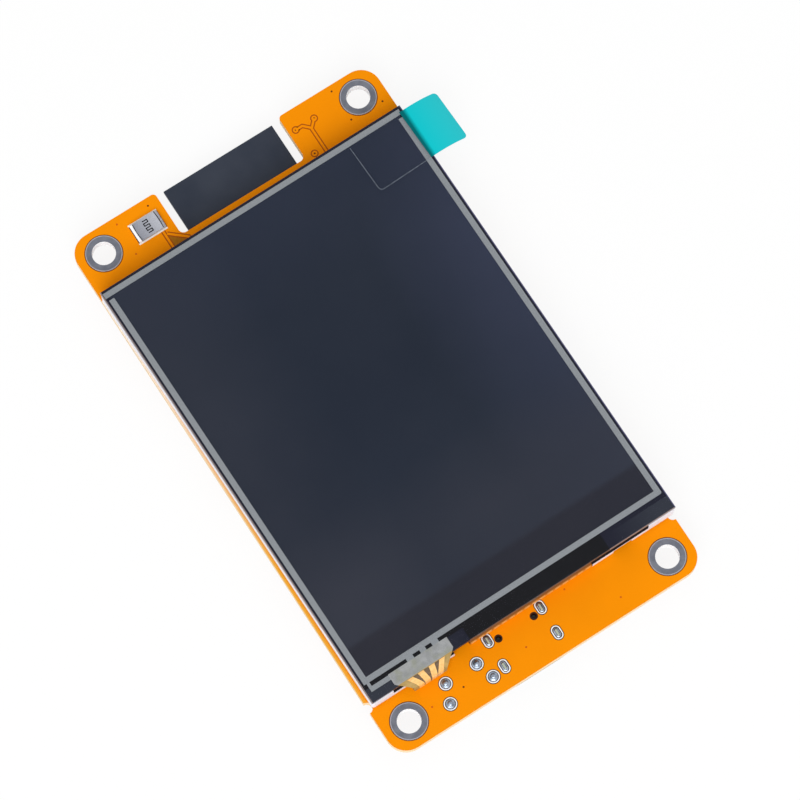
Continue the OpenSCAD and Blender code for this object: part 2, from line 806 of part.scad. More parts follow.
module seal_tape() {
    color("black") on_display() difference() {
        layer(glass_w, glass_y0, glass_y1, front_top, touch_z);
        layer(glass_w - 2 * seal_w, glass_y0 + seal_w, glass_y1 - seal_w, front_top - past, touch_z + past);
    }
}

module touch_glass() {
    color("lightcyan") on_display() layer(touch_w, -touch_l / 2, touch_l / 2, touch_z, touch_glass_top);
}

// Bars along the four sides, the lead from the left bar and the tabs to the flex bond
module silver_print() {
    side_top = bar_y1 - bar_w - bar_gap;
    lead_y = bond_y1 - lead_run_w - silver_t;
    translate([-bar_x - bar_reach, bar_y1 - bar_w]) square([2 * bar_x + bar_reach, bar_w]);
    difference() {
        union() {
            translate([-bar_x, bar_y0]) square([2 * bar_x - bar_r, side_top - bar_y0]);
            translate([-bar_x, bar_y0 + bar_r]) square([2 * bar_x, side_top - bar_y0 - bar_r]);
            translate([bar_x - bar_r, bar_y0 + bar_r]) circle(bar_r);
        }
        translate([bar_w - bar_x, bar_y0 + bar_w]) square([2 * (bar_x - bar_w), side_top - bar_y0]);
    }
    translate([bar_w - lead_w - bar_x, lead_y]) square([lead_w, bar_y0 - lead_y]);
    translate([bar_w - lead_w - bar_x, lead_y])
        square([tail_x - bond_w / 2 - (bar_w - lead_w - bar_x), lead_run_w]);
    for (t = bond_tabs) translate([tail_x + t[0] - t[1] / 2, bond_y1]) square([t[1], bar_y0 - bond_y1]);
}

module touch_silver() {
    color("darkgray") on_display() translate([0, 0, touch_glass_top]) linear_extrude(silver_t) silver_print();
}

module touch_film() {
    color([0.2, 0.22, 0.28]) on_display()
        layer(touch_w, -touch_l / 2, touch_l / 2, silver_top, touch_top);
}

// Side view of the touch flex: out of the panel, round the frame and back along the board
module tail_profile() {
    edge_y = -touch_l / 2;
    t = silver_t;
    translate([edge_y, silver_top / 2]) intersection() {
        difference() {
            stadium(2 * bend_out, silver_top);
            stadium(2 * (bend_out - t), silver_top - 2 * t);
        }
        translate([-2 * bend_out, -silver_top]) square([2 * bend_out, 2 * silver_top]);
    }
    translate([edge_y, touch_glass_top]) square([bond_y1 - edge_y, t]);
    translate([edge_y, 0]) square([tail_run, t]);
}

// Top view of the flex from its bond to the outside of its bend
module tail_outline() {
    edge_y = -touch_l / 2;
    neck_y = edge_y - bend_out;
    chamfer = (bond_w - edge_w) / 2;
    polygon([[-bond_w / 2, bond_y1], [bond_w / 2, bond_y1], [bond_w / 2, edge_y + chamfer],
             [edge_w / 2, edge_y], [neck_w / 2, neck_y], [neck_w / 2, neck_y - past],
             [-neck_w / 2, neck_y - past], [-neck_w / 2, neck_y], [-edge_w / 2, edge_y],
             [-bond_w / 2, edge_y + chamfer]]);
}

module touch_flex() {
    color("goldenrod") on_display() translate([tail_x, 0, 0]) intersection() {
        along_x(bond_w) tail_profile();
        union() {
            translate([0, 0, silver_top / 2]) linear_extrude(silver_top) tail_outline();
            layer(neck_w, -touch_l, 0, -past, silver_top / 2);
        }
    }
}

module protective_film() {
    inset = film_inset;
    color([0.2, 0.24, 0.3]) on_display()
        layer(touch_w - 2 * inset, inset - touch_l / 2, touch_l / 2 - inset, touch_top, film_top);
}

// Places a child on the film at the panel's right edge, turned as the tab lies
module on_tab() {
    on_display() translate([touch_w / 2, tab_y, film_top]) rotate([0, 0, tab_turn]) children();
}

module tab_tape() {
    w = tab_tape_l - tab_grip;
    color("lightblue") on_tab() translate([-tab_grip - w / 2, 0, 0]) linear_extrude(tab_t)
        intersection() {
            translate([tab_r, 0]) rounded_rect(w + 2 * tab_r, tab_w, tab_r);
            square([w, tab_w], center = true);
        }
}

// Free end of the tab: a strip that droops round a large radius
module tab_droop(angle) {
    translate([0, 0, tab_t - tab_bend_r]) rotate([-90, -90, 0]) rotate_extrude(angle = angle, $fn = 256)
        translate([tab_bend_r - tab_t, -tab_w / 2]) square([tab_t, tab_w]);
}

module pull_tab() {
    angle = tab_free_l / tab_bend_r * 180 / PI;
    tip_x = tab_bend_r * sin(angle);
    w = tip_x + 2 * tab_grip;
    color("darkturquoise") on_tab() {
        translate([-tab_grip / 2, 0, 0]) layer(tab_grip, -tab_w / 2, tab_w / 2, 0, tab_t);
        intersection() {
            tab_droop(angle);
            translate([tip_x - w / 2, 0, -tab_bend_r]) linear_extrude(2 * tab_bend_r)
                rounded_rect(w, tab_w, tab_r);
        }
    }
}

// Radio module on the back
module radio_board() {
    first = 1.5;
    color([0.13, 0.14, 0.18]) on_back(radio_x, radio_y) linear_extrude(radio_t) difference() {
        translate([-radio_w / 2, 0]) square([radio_w, radio_l]);
        for (s = [-1, 1], i = [0 : edge_count - 1])
            translate([s * radio_w / 2, first + i * edge_pitch]) circle(edge_r);
        for (i = [0 : edge_end_count - 1])
            translate([(i - (edge_end_count - 1) / 2) * edge_pitch, 0]) circle(edge_r);
    }
}

module radio_shield() {
    color("silver") on_back(radio_x, radio_y + can_up + can_l / 2) translate([0, 0, radio_t]) difference() {
        linear_extrude(can_h) rounded_rect(can_w, can_l, can_r);
        translate([0, 0, -past]) linear_extrude(can_h - can_wall + past)
            rounded_rect(can_w - 2 * can_wall, can_l - 2 * can_wall, can_r - can_wall);
    }
}

// Folded trace on the module's free end
module antenna_trace() {
    strip = antenna_w;
    fold = antenna_fold;
    pitch = antenna_pitch;
    count = 8;
    start_x = -(count * pitch + strip) / 2;
    start_y = radio_l - fold - antenna_w;
    color("darkgoldenrod") on_back(radio_x, radio_y) translate([0, 0, radio_t]) linear_extrude(plating_t) {
        for (i = [0 : count]) translate([start_x + i * pitch, start_y]) square([strip, fold]);
        for (i = [0 : count - 1]) translate([start_x + i * pitch, start_y + (i % 2 == 0 ? fold - strip : 0)])
            square([pitch + strip, strip]);
    }
}

// Wide data port on the back
wide_r = 1.25;
wide_tongue = [6.7, 0.7, 4.6];
wide_block_l = 2.4;
wide_contact_count = 12;
wide_contact_pitch = 0.5;
wide_contact_w = 0.26;
contact_t = 0.05;
spring_w = 0.9;
spring_l = 2;
tail_l = 0.9;
tail_t = 0.15;

module on_wide_port() {
    on_back(wide_x, port_y) children();
}

// Cross-section of the shell, grown or shrunk by d on every side
module wide_section(d) {
    translate([0, wide_h / 2]) rounded_rect(wide_w + 2 * d, wide_h + 2 * d, wide_r + d);
}

// A straight leg from a port's shell, through the board
module port_leg(up) {
    end_z = plating_t - board_t;
    translate([-shell_t / 2, -leg_l / 2, end_z]) cube([shell_t, leg_l, up - end_z]);
}

module wide_port_shell() {
    color("silver") on_wide_port() {
        difference() {
            translate([0, wide_l / 2, 0]) along_y(wide_l) difference() {
                wide_section(0);
                wide_section(-shell_t);
            }
            layer(wide_peg_dx + 2 * peg_d, wide_peg_y - peg_d, wide_l + past, -past, shell_t + insert_fit);
            for (s = [-1, 1]) translate([s * wide_w / 4, wide_l / 2, wide_h - shell_t])
                layer(spring_w, -spring_l / 2, spring_l / 2, -insert_fit, past);
        }
        for (sx = [-1, 1], y = [wide_leg_y, wide_leg_y + wide_leg_dy])
            translate([sx * wide_leg_dx / 2, y, 0]) port_leg(wide_h / 2);
    }
}

module wide_port_insert() {
    block_y = wide_l - wide_block_l;
    color("black") on_wide_port() {
        translate([0, block_y + wide_block_l / 2, 0]) along_y(wide_block_l)
            wide_section(-shell_t - insert_fit);
        translate([0, block_y, (wide_h - wide_tongue[1]) / 2])
            layer(wide_tongue[0], wide_block_l / 2 - wide_tongue[2], 0, 0, wide_tongue[1]);
        translate([0, wide_peg_y, 0]) for (sx = [-1, 1])
            translate([sx * wide_peg_dx / 2, 0, -board_t / 2])
                cylinder(d = peg_d, h = board_t / 2 + shell_t + 2 * insert_fit);
    }
}

module wide_port_contacts() {
    strip_l = wide_tongue[2] - wide_block_l / 2 - insert_fit;
    strip_y = wide_l - wide_block_l - strip_l;
    color("gold") on_wide_port() for (i = [0 : wide_contact_count - 1]) {
        x = (i - (wide_contact_count - 1) / 2) * wide_contact_pitch;
        for (z = [(wide_h - wide_tongue[1]) / 2 - contact_t, (wide_h + wide_tongue[1]) / 2])
            translate([x, 0, 0]) layer(wide_contact_w, strip_y, strip_y + strip_l, z, z + contact_t);
        translate([x, 0, 0]) layer(wide_contact_w, wide_l, wide_l + tail_l, 0, tail_t);
    }
}

// Small data port on the back
small_bevel = 0.9;
small_lip = 0.25;
small_lip_l = 0.5;
small_tongue = [3.7, 0.6, 3];
small_block_l = 1.8;
small_contact_count = 5;
small_contact_pitch = 0.65;
small_contact_w = 0.4;

module on_small_port() {
    on_back(small_x, port_y) children();
}

// Cross-section of the shell, with the corners beside the board cut off
module small_section(d) {
    w = small_w / 2 + d;
    b = small_bevel;
    polygon([[b - w, -d], [w - b, -d], [w, b - d], [w, small_h + d], [-w, small_h + d], [-w, b - d]]);
}

module small_port_shell() {
    color("silver") on_small_port() {
        difference() {
            translate([0, small_l / 2, 0]) along_y(small_l) difference() {
                small_section(0);
                small_section(-shell_t);
            }
            for (s = [-1, 1]) translate([s * small_w / 4, small_l / 2, small_h - shell_t])
                layer(spring_w, -spring_l / 2, spring_l / 2, -insert_fit, past);
        }
        translate([0, small_lip_l / 2, 0]) intersection() {
            along_y(small_lip_l) difference() {
                small_section(small_lip);
                small_section(-shell_t / 2);
            }
            layer(2 * small_w, -small_l, small_l, 0, 2 * small_h);
        }
        for (sx = [-1, 1]) {
            translate([sx * small_leg_dx / 2, small_leg_y, 0]) port_leg(small_h / 2);
            translate([sx * small_rear_dx / 2, small_leg_y + small_leg_dy, 0]) port_leg(shell_t);
        }
    }
}

module small_port_insert() {
    block_y = small_l - small_block_l;
    color("black") on_small_port() {
        translate([0, block_y + small_block_l / 2, 0]) along_y(small_block_l)
            small_section(-shell_t - insert_fit);
        translate([0, block_y, (small_h - small_tongue[1]) / 2])
            layer(small_tongue[0], small_block_l / 2 - small_tongue[2], 0, 0, small_tongue[1]);
    }
}

module small_port_contacts() {
    strip_l = small_tongue[2] - small_block_l / 2 - insert_fit;
    strip_y = small_l - small_block_l - strip_l;
    z = (small_h - small_tongue[1]) / 2 - contact_t;
    color("gold") on_small_port() for (i = [0 : small_contact_count - 1])
        translate([(i - (small_contact_count - 1) / 2) * small_contact_pitch, 0, 0]) {
            layer(small_contact_w, strip_y, strip_y + strip_l, z, z + contact_t);
            layer(small_contact_w, small_l, small_l + tail_l, 0, tail_t);
        }
}

// Memory card slot on the back, its mouth towards the right edge
card_mouth = [11.4, 1];
card_window = [2.2, 5];
card_contact_count = 8;
card_contact_pitch = 1.1;
card_contact_w = 0.7;
card_contact_l = 5;

module on_card_slot() {
    on_back(board_w / 2 - card_setback, card_y, 90) children();
}

module card_slot_cover() {
    color("silver") on_card_slot() difference() {
        layer(card_w, 0, card_l, 0, card_h);
        layer(card_w - 2 * card_wall, -past, card_l - card_wall, -past, card_h - card_wall);
        for (s = [-1, 1]) translate([s * card_w / 4, card_l / 2, 0])
            layer(card_window[0], -card_window[1] / 2, card_window[1] / 2, 0, card_h + past);
    }
}

module card_slot_base() {
    base_w = card_w - 2 * (card_wall + insert_fit);
    base_l = card_l - card_wall - 2 * insert_fit;
    rail_w = (base_w - card_mouth[0]) / 2;
    color([0.15, 0.15, 0.16]) on_card_slot() {
        layer(base_w, insert_fit, base_l, 0, card_base_t);
        for (s = [-1, 1]) translate([s * (base_w - rail_w) / 2, 0, 0])
            layer(rail_w, insert_fit, base_l, card_base_t, card_h - card_wall - insert_fit);
    }
}

module card_slot_contacts() {
    color("gold") on_card_slot() for (i = [0 : card_contact_count - 1])
        translate([(i - (card_contact_count - 1) / 2) * card_contact_pitch, 0, 0]) {
            layer(card_contact_w, card_l - 2 * card_contact_l, card_l - card_contact_l,
                  card_base_t, card_base_t + tail_t);
            layer(card_contact_w, card_l, card_l + tail_l, 0, tail_t);
        }
}

// Wire sockets on the back: pin count, then x, y and turn of the mouth
power_place = [4, power_x, -board_l / 2 + socket_setback, 0];
sensor_place = [4, -board_w / 2 + socket_setback, sensor_socket_y, -90];
io_place = [4, -board_w / 2 + socket_setback, io_socket_y, -90];
speaker_place = [2, board_w / 2 - socket_setback, speaker_y, 90];
nail_t = 0.6;
nail_l = 2.2;
nail_h = 0.9;
latch_w = 0.8;
pin_level = 1.2;

module on_socket(place) {
    on_back(place[1], place[2], place[3]) children();
}

// Repeats a child at each pin of a socket
module at_pins(place) {
    for (i = [0 : place[0] - 1]) translate([(i - (place[0] - 1) / 2) * pin_pitch, 0, 0]) children();
}

function socket_w(place) = (place[0] - 1) * pin_pitch + 2 * socket_side;

module wire_socket(place) {
    w = socket_w(place);
    color("ivory") on_socket(place) difference() {
        layer(w, 0, socket_d, 0, socket_h);
        translate([0, 0, socket_wall])
            layer(w - 2 * socket_wall, -past, socket_mouth, 0, socket_h - 2 * socket_wall);
        for (s = [-1, 1]) translate([s * (w / 2 - socket_side), 0, 0])
            layer(latch_w, -past, socket_mouth / 2, socket_h / 2, socket_h + past);
        at_pins(place) translate([0, 0, pin_level - insert_fit])
            layer(pin_t + 2 * insert_fit, socket_mouth - past, socket_d + past, 0, pin_t + 2 * insert_fit);
    }
}

module power_socket() { wire_socket(power_place); }
module sensor_socket() { wire_socket(sensor_place); }
module io_socket() { wire_socket(io_place); }
module speaker_socket() { wire_socket(speaker_place); }

// Pins: straight in the mouth, then down behind the housing to a foot on the board
module socket_pin() {
    back = socket_d + insert_fit;
    foot = back + pin_t + tail_l;
    along_x(pin_t) polygon([[socket_wall, pin_level], [back, pin_level], [back, 0], [foot, 0], [foot, pin_t],
                            [back + pin_t, pin_t], [back + pin_t, pin_level + pin_t],
                            [socket_wall, pin_level + pin_t]]);
}

module socket_pins() {
    color("silver") for (place = [power_place, sensor_place, io_place, speaker_place]) on_socket(place) {
        at_pins(place) socket_pin();
        for (s = [-1, 1]) translate([s * (socket_w(place) + nail_t) / 2, 0, 0])
            layer(nail_t, socket_d / 2 - nail_l / 2, socket_d / 2 + nail_l / 2, 0, nail_h);
    }
}

// Push switches on the back
module switch_base(y) {
    color([0.12, 0.12, 0.13]) on_back(switch_x, y) difference() {
        layer(switch_l, -switch_w / 2, switch_w / 2, 0, switch_base_h);
        translate([0, 0, switch_floor]) cylinder(r = switch_well_r, h = switch_base_h);
    }
}

module switch_cover(y) {
    hole_r = stem_d / 2 + button_fit;
    z = switch_base_h;
    color("silver") on_back(switch_x, y) difference() {
        union() {
            layer(switch_l, -switch_w / 2, switch_w / 2, z, z + switch_cover_t);
            for (s = [-1, 1]) translate([0, s * (switch_w + switch_cover_t) / 2, 0])
                layer(switch_l / 2, -switch_cover_t / 2, switch_cover_t / 2, 0, z + switch_cover_t);
            for (s = [-1, 1]) translate([s * (switch_l + switch_cover_t) / 2, 0, 0])
                layer(switch_cover_t, -switch_w / 4, switch_w / 4, 0, z + switch_cover_t);
        }
        translate([0, 0, z - past]) cylinder(r = hole_r, h = 2 * past + switch_cover_t);
    }
}

// Snap dome: a shallow sheet cap with its crown under the button
module snap_dome(y) {
    rise = flange_z - switch_floor - dome_t;
    r = flange_d / 2;
    color("lightgray") on_back(switch_x, y) translate([0, 0, switch_floor]) rotate_extrude() polygon([
        [0, rise], [r / 3, rise], [r, 0], [r, dome_t], [r / 3, rise + dome_t], [0, rise + dome_t]]);
}

module switch_button(y) {
    color([0.2, 0.2, 0.21]) on_back(switch_x, y) {
        translate([0, 0, flange_z]) cylinder(d = flange_d, h = flange_t);
        translate([0, 0, flange_z]) cylinder(d = stem_d, h = flange_t + switch_cover_t + stem_out);
    }
}

module boot_switch_base() { switch_base(boot_y); }
module boot_switch_cover() { switch_cover(boot_y); }
module boot_dome() { snap_dome(boot_y); }
module boot_button() { switch_button(boot_y); }
module reset_switch_base() { switch_base(reset_y); }
module reset_switch_cover() { switch_cover(reset_y); }
module reset_dome() { snap_dome(reset_y); }
module reset_button() { switch_button(reset_y); }

// Moulded chip body with drafted sides and a round mark at pin one
module chip_body(l, w, h) {
    draft = 0.12;
    mid = (h + standoff) / 2;
    mark_d = 0.8;
    mark_in = 0.9;
    difference() {
        along_x(l) polygon([[draft - w / 2, standoff], [w / 2 - draft, standoff], [w / 2, mid],
                            [w / 2 - draft, h], [draft - w / 2, h], [-w / 2, mid]]);
        translate([mark_in - l / 2, mark_in - w / 2, h - contact_t]) cylinder(d = mark_d, h = past);
    }
}

module logic_chips() {
    color([0.1, 0.1, 0.11]) for (c = chips) on_back(c[0], c[1], c[2]) chip_body(c[3], c[4], c[5]);
}

module regulator() {
    color([0.1, 0.1, 0.11]) on_back(regulator_at[0], regulator_at[1])
        chip_body(regulator_at[2], regulator_at[3], regulator_at[4]);
}

module transistors() {
    color([0.1, 0.1, 0.11]) for (t = transistor_at) on_back(t[0], t[1])
        along_x(transistor_size[0]) polygon([
            [-transistor_size[1] / 2, standoff], [transistor_size[1] / 2, standoff],
            [transistor_size[1] / 2, transistor_size[2]], [-transistor_size[1] / 2, transistor_size[2]]]);
}

// Bent lead that leaves a body w wide and h high at half its height, on the +Y side
module gull_lead(lead_w, w, h) {
    t = lead_t;
    mid = (h + standoff) / 2;
    knee = w / 2 + t;
    along_x(lead_w) polygon([
        [w / 2, mid - t / 2], [knee, mid - t / 2], [knee, 0], [knee + foot_l, 0], [knee + foot_l, t],
        [knee + t, t], [knee + t, mid + t / 2], [w / 2, mid + t / 2]]);
}

module chip_leads() {
    color("silver") {
        for (c = chips) on_back(c[0], c[1], c[2]) for (side = [0, 180], i = [0 : c[6] - 1])
            rotate([0, 0, side]) translate([(i - (c[6] - 1) / 2) * c[7], 0, 0])
                gull_lead(c[7] / 3, c[4], c[5]);
        on_back(regulator_at[0], regulator_at[1]) {
            for (i = [-1 : 1]) translate([i * regulator_pitch, 0, 0])
                gull_lead(regulator_lead_w, regulator_at[3], regulator_at[4]);
            rotate([0, 0, 180]) gull_lead(regulator_tab_w, regulator_at[3], regulator_at[4]);
        }
        for (t = transistor_at) on_back(t[0], t[1]) {
            for (s = [-1, 1]) translate([s * transistor_pitch, 0, 0])
                gull_lead(transistor_lead_w, transistor_size[1], transistor_size[2]);
            rotate([0, 0, 180]) gull_lead(transistor_lead_w, transistor_size[1], transistor_size[2]);
        }
    }
}

// Body of a capacitor or resistor, a little inside its metal ends
module passive_body(h) {
    side = passive_w / 2 - passive_rim;
    layer(passive_l - 2 * passive_end, -side, side, 0, h - passive_rim);
}

module passive_caps(h) {
    for (s = [-1, 1]) translate([s * (passive_l - passive_end) / 2, 0, 0])
        layer(passive_end, -passive_w / 2, passive_w / 2, 0, h);
}

module capacitors() {
    color("tan") for (p = capacitor_at) on_back(p[0], p[1], p[2]) passive_body(capacitor_h);
}

module resistors() {
    color([0.12, 0.12, 0.13]) for (p = resistor_at) on_back(p[0], p[1], p[2]) passive_body(resistor_h);
}

module passive_ends() {
    color("silver") {
        for (p = capacitor_at) on_back(p[0], p[1], p[2]) passive_caps(capacitor_h);
        for (p = resistor_at) on_back(p[0], p[1], p[2]) passive_caps(resistor_h);
    }
}

// Status LED: a white cup with a round lens recess
module status_led() {
    lens_d = status_w * 0.72;
    lens_depth = 0.15;
    color("white") on_back(status_at[0], status_at[1]) difference() {
        layer(status_w, -status_w / 2, status_w / 2, 0, status_h);
        translate([0, 0, status_h - lens_depth]) cylinder(d = lens_d, h = past);
    }
}

circuit_board();
plated_holes();
solder_joints();
light_sensor();
light_sensor_ends();
mounting_tape();
reflector_film();
backlight_frame();
led_strip();
backlight_leds();
light_guide();
diffuser_films();
rear_polariser();
tft_glass();
colour_filter_glass();
front_polariser();
driver_chip();
ledge_tape();
display_flex();
seal_tape();
touch_glass();
touch_silver();
touch_film();
touch_flex();
protective_film();
tab_tape();
pull_tab();
radio_board();
radio_shield();
antenna_trace();
wide_port_shell();
wide_port_insert();
wide_port_contacts();
small_port_shell();
small_port_insert();
small_port_contacts();
card_slot_cover();
card_slot_base();
card_slot_contacts();
power_socket();
sensor_socket();
io_socket();
speaker_socket();
socket_pins();
boot_switch_base();
boot_switch_cover();
boot_dome();
boot_button();
reset_switch_base();
reset_switch_cover();
reset_dome();
reset_button();
logic_chips();
regulator();
transistors();
chip_leads();
capacitors();
resistors();
passive_ends();
status_led();
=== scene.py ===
"""Dresses the touch display board: finishes for its solids, printed and plated details, and the stage."""

import math

import bpy
from mathutils import Matrix, Vector


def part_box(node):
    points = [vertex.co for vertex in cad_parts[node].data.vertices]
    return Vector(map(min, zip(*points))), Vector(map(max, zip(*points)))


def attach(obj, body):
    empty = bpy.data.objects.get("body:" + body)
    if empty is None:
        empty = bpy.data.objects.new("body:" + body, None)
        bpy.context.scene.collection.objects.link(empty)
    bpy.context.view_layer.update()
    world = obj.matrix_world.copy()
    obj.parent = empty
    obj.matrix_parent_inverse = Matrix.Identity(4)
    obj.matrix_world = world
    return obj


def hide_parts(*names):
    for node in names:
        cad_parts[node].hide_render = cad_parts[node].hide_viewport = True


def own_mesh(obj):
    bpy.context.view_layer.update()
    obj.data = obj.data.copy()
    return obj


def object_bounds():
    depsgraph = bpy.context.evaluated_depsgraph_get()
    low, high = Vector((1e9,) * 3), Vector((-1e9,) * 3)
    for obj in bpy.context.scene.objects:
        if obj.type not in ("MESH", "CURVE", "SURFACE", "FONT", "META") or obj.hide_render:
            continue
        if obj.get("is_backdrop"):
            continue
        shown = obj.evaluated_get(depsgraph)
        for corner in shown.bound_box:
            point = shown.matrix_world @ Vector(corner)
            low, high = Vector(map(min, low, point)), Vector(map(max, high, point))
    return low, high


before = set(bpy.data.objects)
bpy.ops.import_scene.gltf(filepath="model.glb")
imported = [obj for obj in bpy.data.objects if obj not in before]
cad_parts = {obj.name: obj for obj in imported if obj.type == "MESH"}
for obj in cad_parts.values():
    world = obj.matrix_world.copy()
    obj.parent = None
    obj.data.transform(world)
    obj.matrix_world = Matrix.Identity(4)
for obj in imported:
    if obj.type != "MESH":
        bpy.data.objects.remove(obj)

bl_info = {
    "name": "Touch display board",
    "version": (1, 0, 0),
    "blender": (4, 5, 0),
    "location": "3D View > Sidebar > Display board",
    "description": "Finishes, printed details and stage for a touch display board",
    "category": "Object",
}

# Lengths on the part are in millimetres, and MM turns them into the scene's metres
MM = 0.001
ROOT = "board"
WHITE = (1, 1, 1)

# Display features in its own frame, from the panel's middle
PANEL_X, PANEL_Y = 24.8, 34.43
BAR_X, BAR_LOW, BAR_HIGH = 24.0, -31.4, 33.5
LEDGE_Y, TABS_Y = -26.4, -32.45
FLEX_LEFT, FLEX_RIGHT = -8.85, 14.0
SLOT_LEFT, SLOT_RIGHT, SLOT_Y = -21.35, 20.35, -34.55
DASH_PITCH = 1.25
# Bend of the touch flex, and where its strips start at the panel's edge and end at its neck
BEND_R = 1.4
COPPER_EDGE, COPPER_NECK = (-18.65, -16.95, -15.15, -13.45), (-17.6, -16.6, -15.5, -14.55)
GAP_EDGE, GAP_NECK = (-17.8, -16.05, -14.3), (-17.1, -16.05, -15.02)
# Width of the strips and how far they lie off the flex's bend, and how thick they are
COPPER_W, COPPER_LIFT, GAP_W, GAP_LIFT, STRIP_T = 0.88, 0.02, 0.7, 0.012, 0.01
# Tab tape: middle of its outer side, lean in degrees, sides and corner; its edge line: size and depth
TAPE_Y, TAPE_LEAN = 29.5, 1.4
TAPE_LEFT, TAPE_RIGHT, TAPE_LOW, TAPE_HIGH, TAPE_R = -9.2, -1.0, -3.95, 3.6, 0.6
TAPE_LINE_W, TAPE_LINE_T, TAPE_SINK = 0.055, 0.015, 0.02

# Features of the board's front face, from the middle of the mounting holes
SIDE_LOW, SIDE_HIGH = -35.0, 33.6
FRONT_TRACKS = (
    ((11.1, 40.05), (12.2, 40.05), (13.1, 39.15), (13.1, 33.8)),
    ((14.2, 40.1), (13.1, 39.0)),
    ((-12.45, 37.6), (-12.45, 33.8)),
    ((-12.15, 37.0), (-9.8, 35.0), (-9.8, 33.8)),
)
BARE_PATCH = ((-12.2, 36.6), (-12.2, 34.9), (-10.2, 34.9))
TRACK_PADS = ((11.1, 40.05), (14.2, 40.1), (11.5, 35.7))
FRONT_DOTS = ((-12.25, 41.9), (18.4, 42.1), (18.5, 37.1), (23.65, 37.0), (-12.3, -39.4))
FAINT_DOTS = ((-17.35, 41.95), (-17.35, 36.85), (-17.4, -39.4), (-2.1, -39.4), (6.7, -35.5), (12.6, -40.6))
LEGEND_LEFT, LEGEND_RIGHT, LEGEND_ROWS, LEGEND_W = -16.24, -11.6, (37.75, 40.83), 0.24
ROUND_JOINTS = ((-14.1, -37.7), (-9.05, -37.7), (-15.075, -40.4), (-8.125, -40.4))
OVAL_JOINTS = ((-6.07, -40.0), (2.57, -40.0), (-6.07, -35.82), (2.57, -35.82))
PEG_HOLES = ((-4.64, -36.35), (1.14, -36.35))
# Left of this line the joints are the small port's
WIDE_PORT_X = -7
# Inner and outer radius of the rings round pads, joints and holes
PAD_R, PAD_RIM, PAD_OUTLINE = 2.625, (2.48, 2.6), (2.63, 2.74)
# Joint rims are painted highlights; joint outlines and hollows, and the rings round the peg holes, are
# painted shade
ROUND_RIM, ROUND_OUTLINE, ROUND_HOLLOW = (0.78, 0.92), (0.93, 1.03), (0.67, 0.74)
OVAL_RIM, OVAL_OUTLINE, OVAL_HOLLOW = (0.51, 0.67), (0.68, 0.78), (0.4, 0.5)
OVAL_REACH, PEG_OUTLINE = 0.35, (0.37, 0.58)
# How far rims and hollows stand above the plating, and joint outlines above the board
PAD_LIFT, JOINT_LIFT, ROUND_LIFT, OVAL_LIFT, OUTLINE_T = 0.015, 0.025, 0.03, 0.04, 0.03
# Thickness of what is printed and plated, and the step that keeps crossing lines apart
GROOVE_T, TRACK_T, INK_T, DOT_T, STEP_T = 0.006, 0.02, 0.012, 0.034, 0.001

# Printed corners on the back: gap to the part, distance inside the board's edge, length and width
CORNER_GAP, CORNER_INSIDE, CORNER_L, CORNER_W = 0.45, 0.35, 1.0, 0.16
# Chips on the back that get them: middle and size
CHIP_CORNERS = (
    (-8.0, -22.0, 11.0, 7.6), (-9.0, 1.0, 8.0, 6.0), (13.2, 21.0, 7.8, 6.2), (14.5, -26.5, 7.6, 8.2),
)
CORNERED_PARTS = ("card_slot_cover", "power_socket", "sensor_socket", "io_socket", "speaker_socket",
                  "boot_switch_base", "reset_switch_base", "status_led")
BACK_DOTS = (
    (-18.0, -16.0), (-16.8, -16.0), (-18.0, -17.2), (-3.0, -14.5), (0.6, -14.5), (6.4, -14.8), (6.4, -16.0),
    (19.8, -16.6), (21.0, -16.6), (19.8, -17.8), (17.5, -33.5), (18.7, -33.5), (-16.5, -31.0), (-16.5, -29.8),
    (-21.5, 17.0), (-20.3, 17.0), (-21.5, 2.6), (-17.2, 2.6), (6.6, 9.6), (9.6, 9.6), (12.4, 11.0),
    (18.6, 11.0), (21.2, 4.8), (21.2, 6.0), (-6.4, 10.2), (-4.8, 12.6), (7.6, 13.4), (-20.5, 36.4),
    (-14.0, 39.6), (15.4, 38.6), (21.4, 33.6), (12.0, 36.2), (-2.4, -29.2), (5.6, -29.8),
)
# Radio module's edge contacts: spacing, first one, and how many along each side and the end
CONTACT_PITCH, CONTACT_FIRST, SIDE_CONTACTS, END_CONTACTS = 1.27, 1.5, 14, 10
# Solder in a contact: radius and how far it stands out; the pad under it: radius and thickness
CONTACT_R, CONTACT_LIFT, CONTACT_PAD_R, CONTACT_PAD_T = 0.39, 0.01, 0.62, 0.05
# Status LED's lens: radius, thickness and height of its foot in the recess
LENS_R, LENS_T, LENS_FOOT = 1.22, 0.1, 0.03
# Share of a snap dome's rise in each of its steps, from the rim inwards
DOME_STEPS = (0.35, 0.27, 0.19, 0.16)
# Floor: width in metres, and how much of its brightness is its own
FLOOR_W, FLOOR_GLOW = 6, 0.88


def number(name, description, default, **kind):
    """A number, or a set of numbers, that a user can change."""
    make = bpy.props.FloatVectorProperty if isinstance(default, tuple) else bpy.props.FloatProperty
    return make(name=name, description=description, default=default, **kind)


def colour(name, description, *screen):
    """A colour, given as a screen colour in 0 to 255 and kept as a linear one."""
    linear = tuple(c / 3294.6 if c <= 10 else ((c / 255 + 0.055) / 1.055) ** 2.4 for c in screen)
    return number(name, description, linear, size=3, min=0, max=1, subtype="COLOR")


def length(name, description, millimetres):
    """A size on the part."""
    return number(name, description, millimetres * MM, min=0, precision=5, unit="LENGTH")


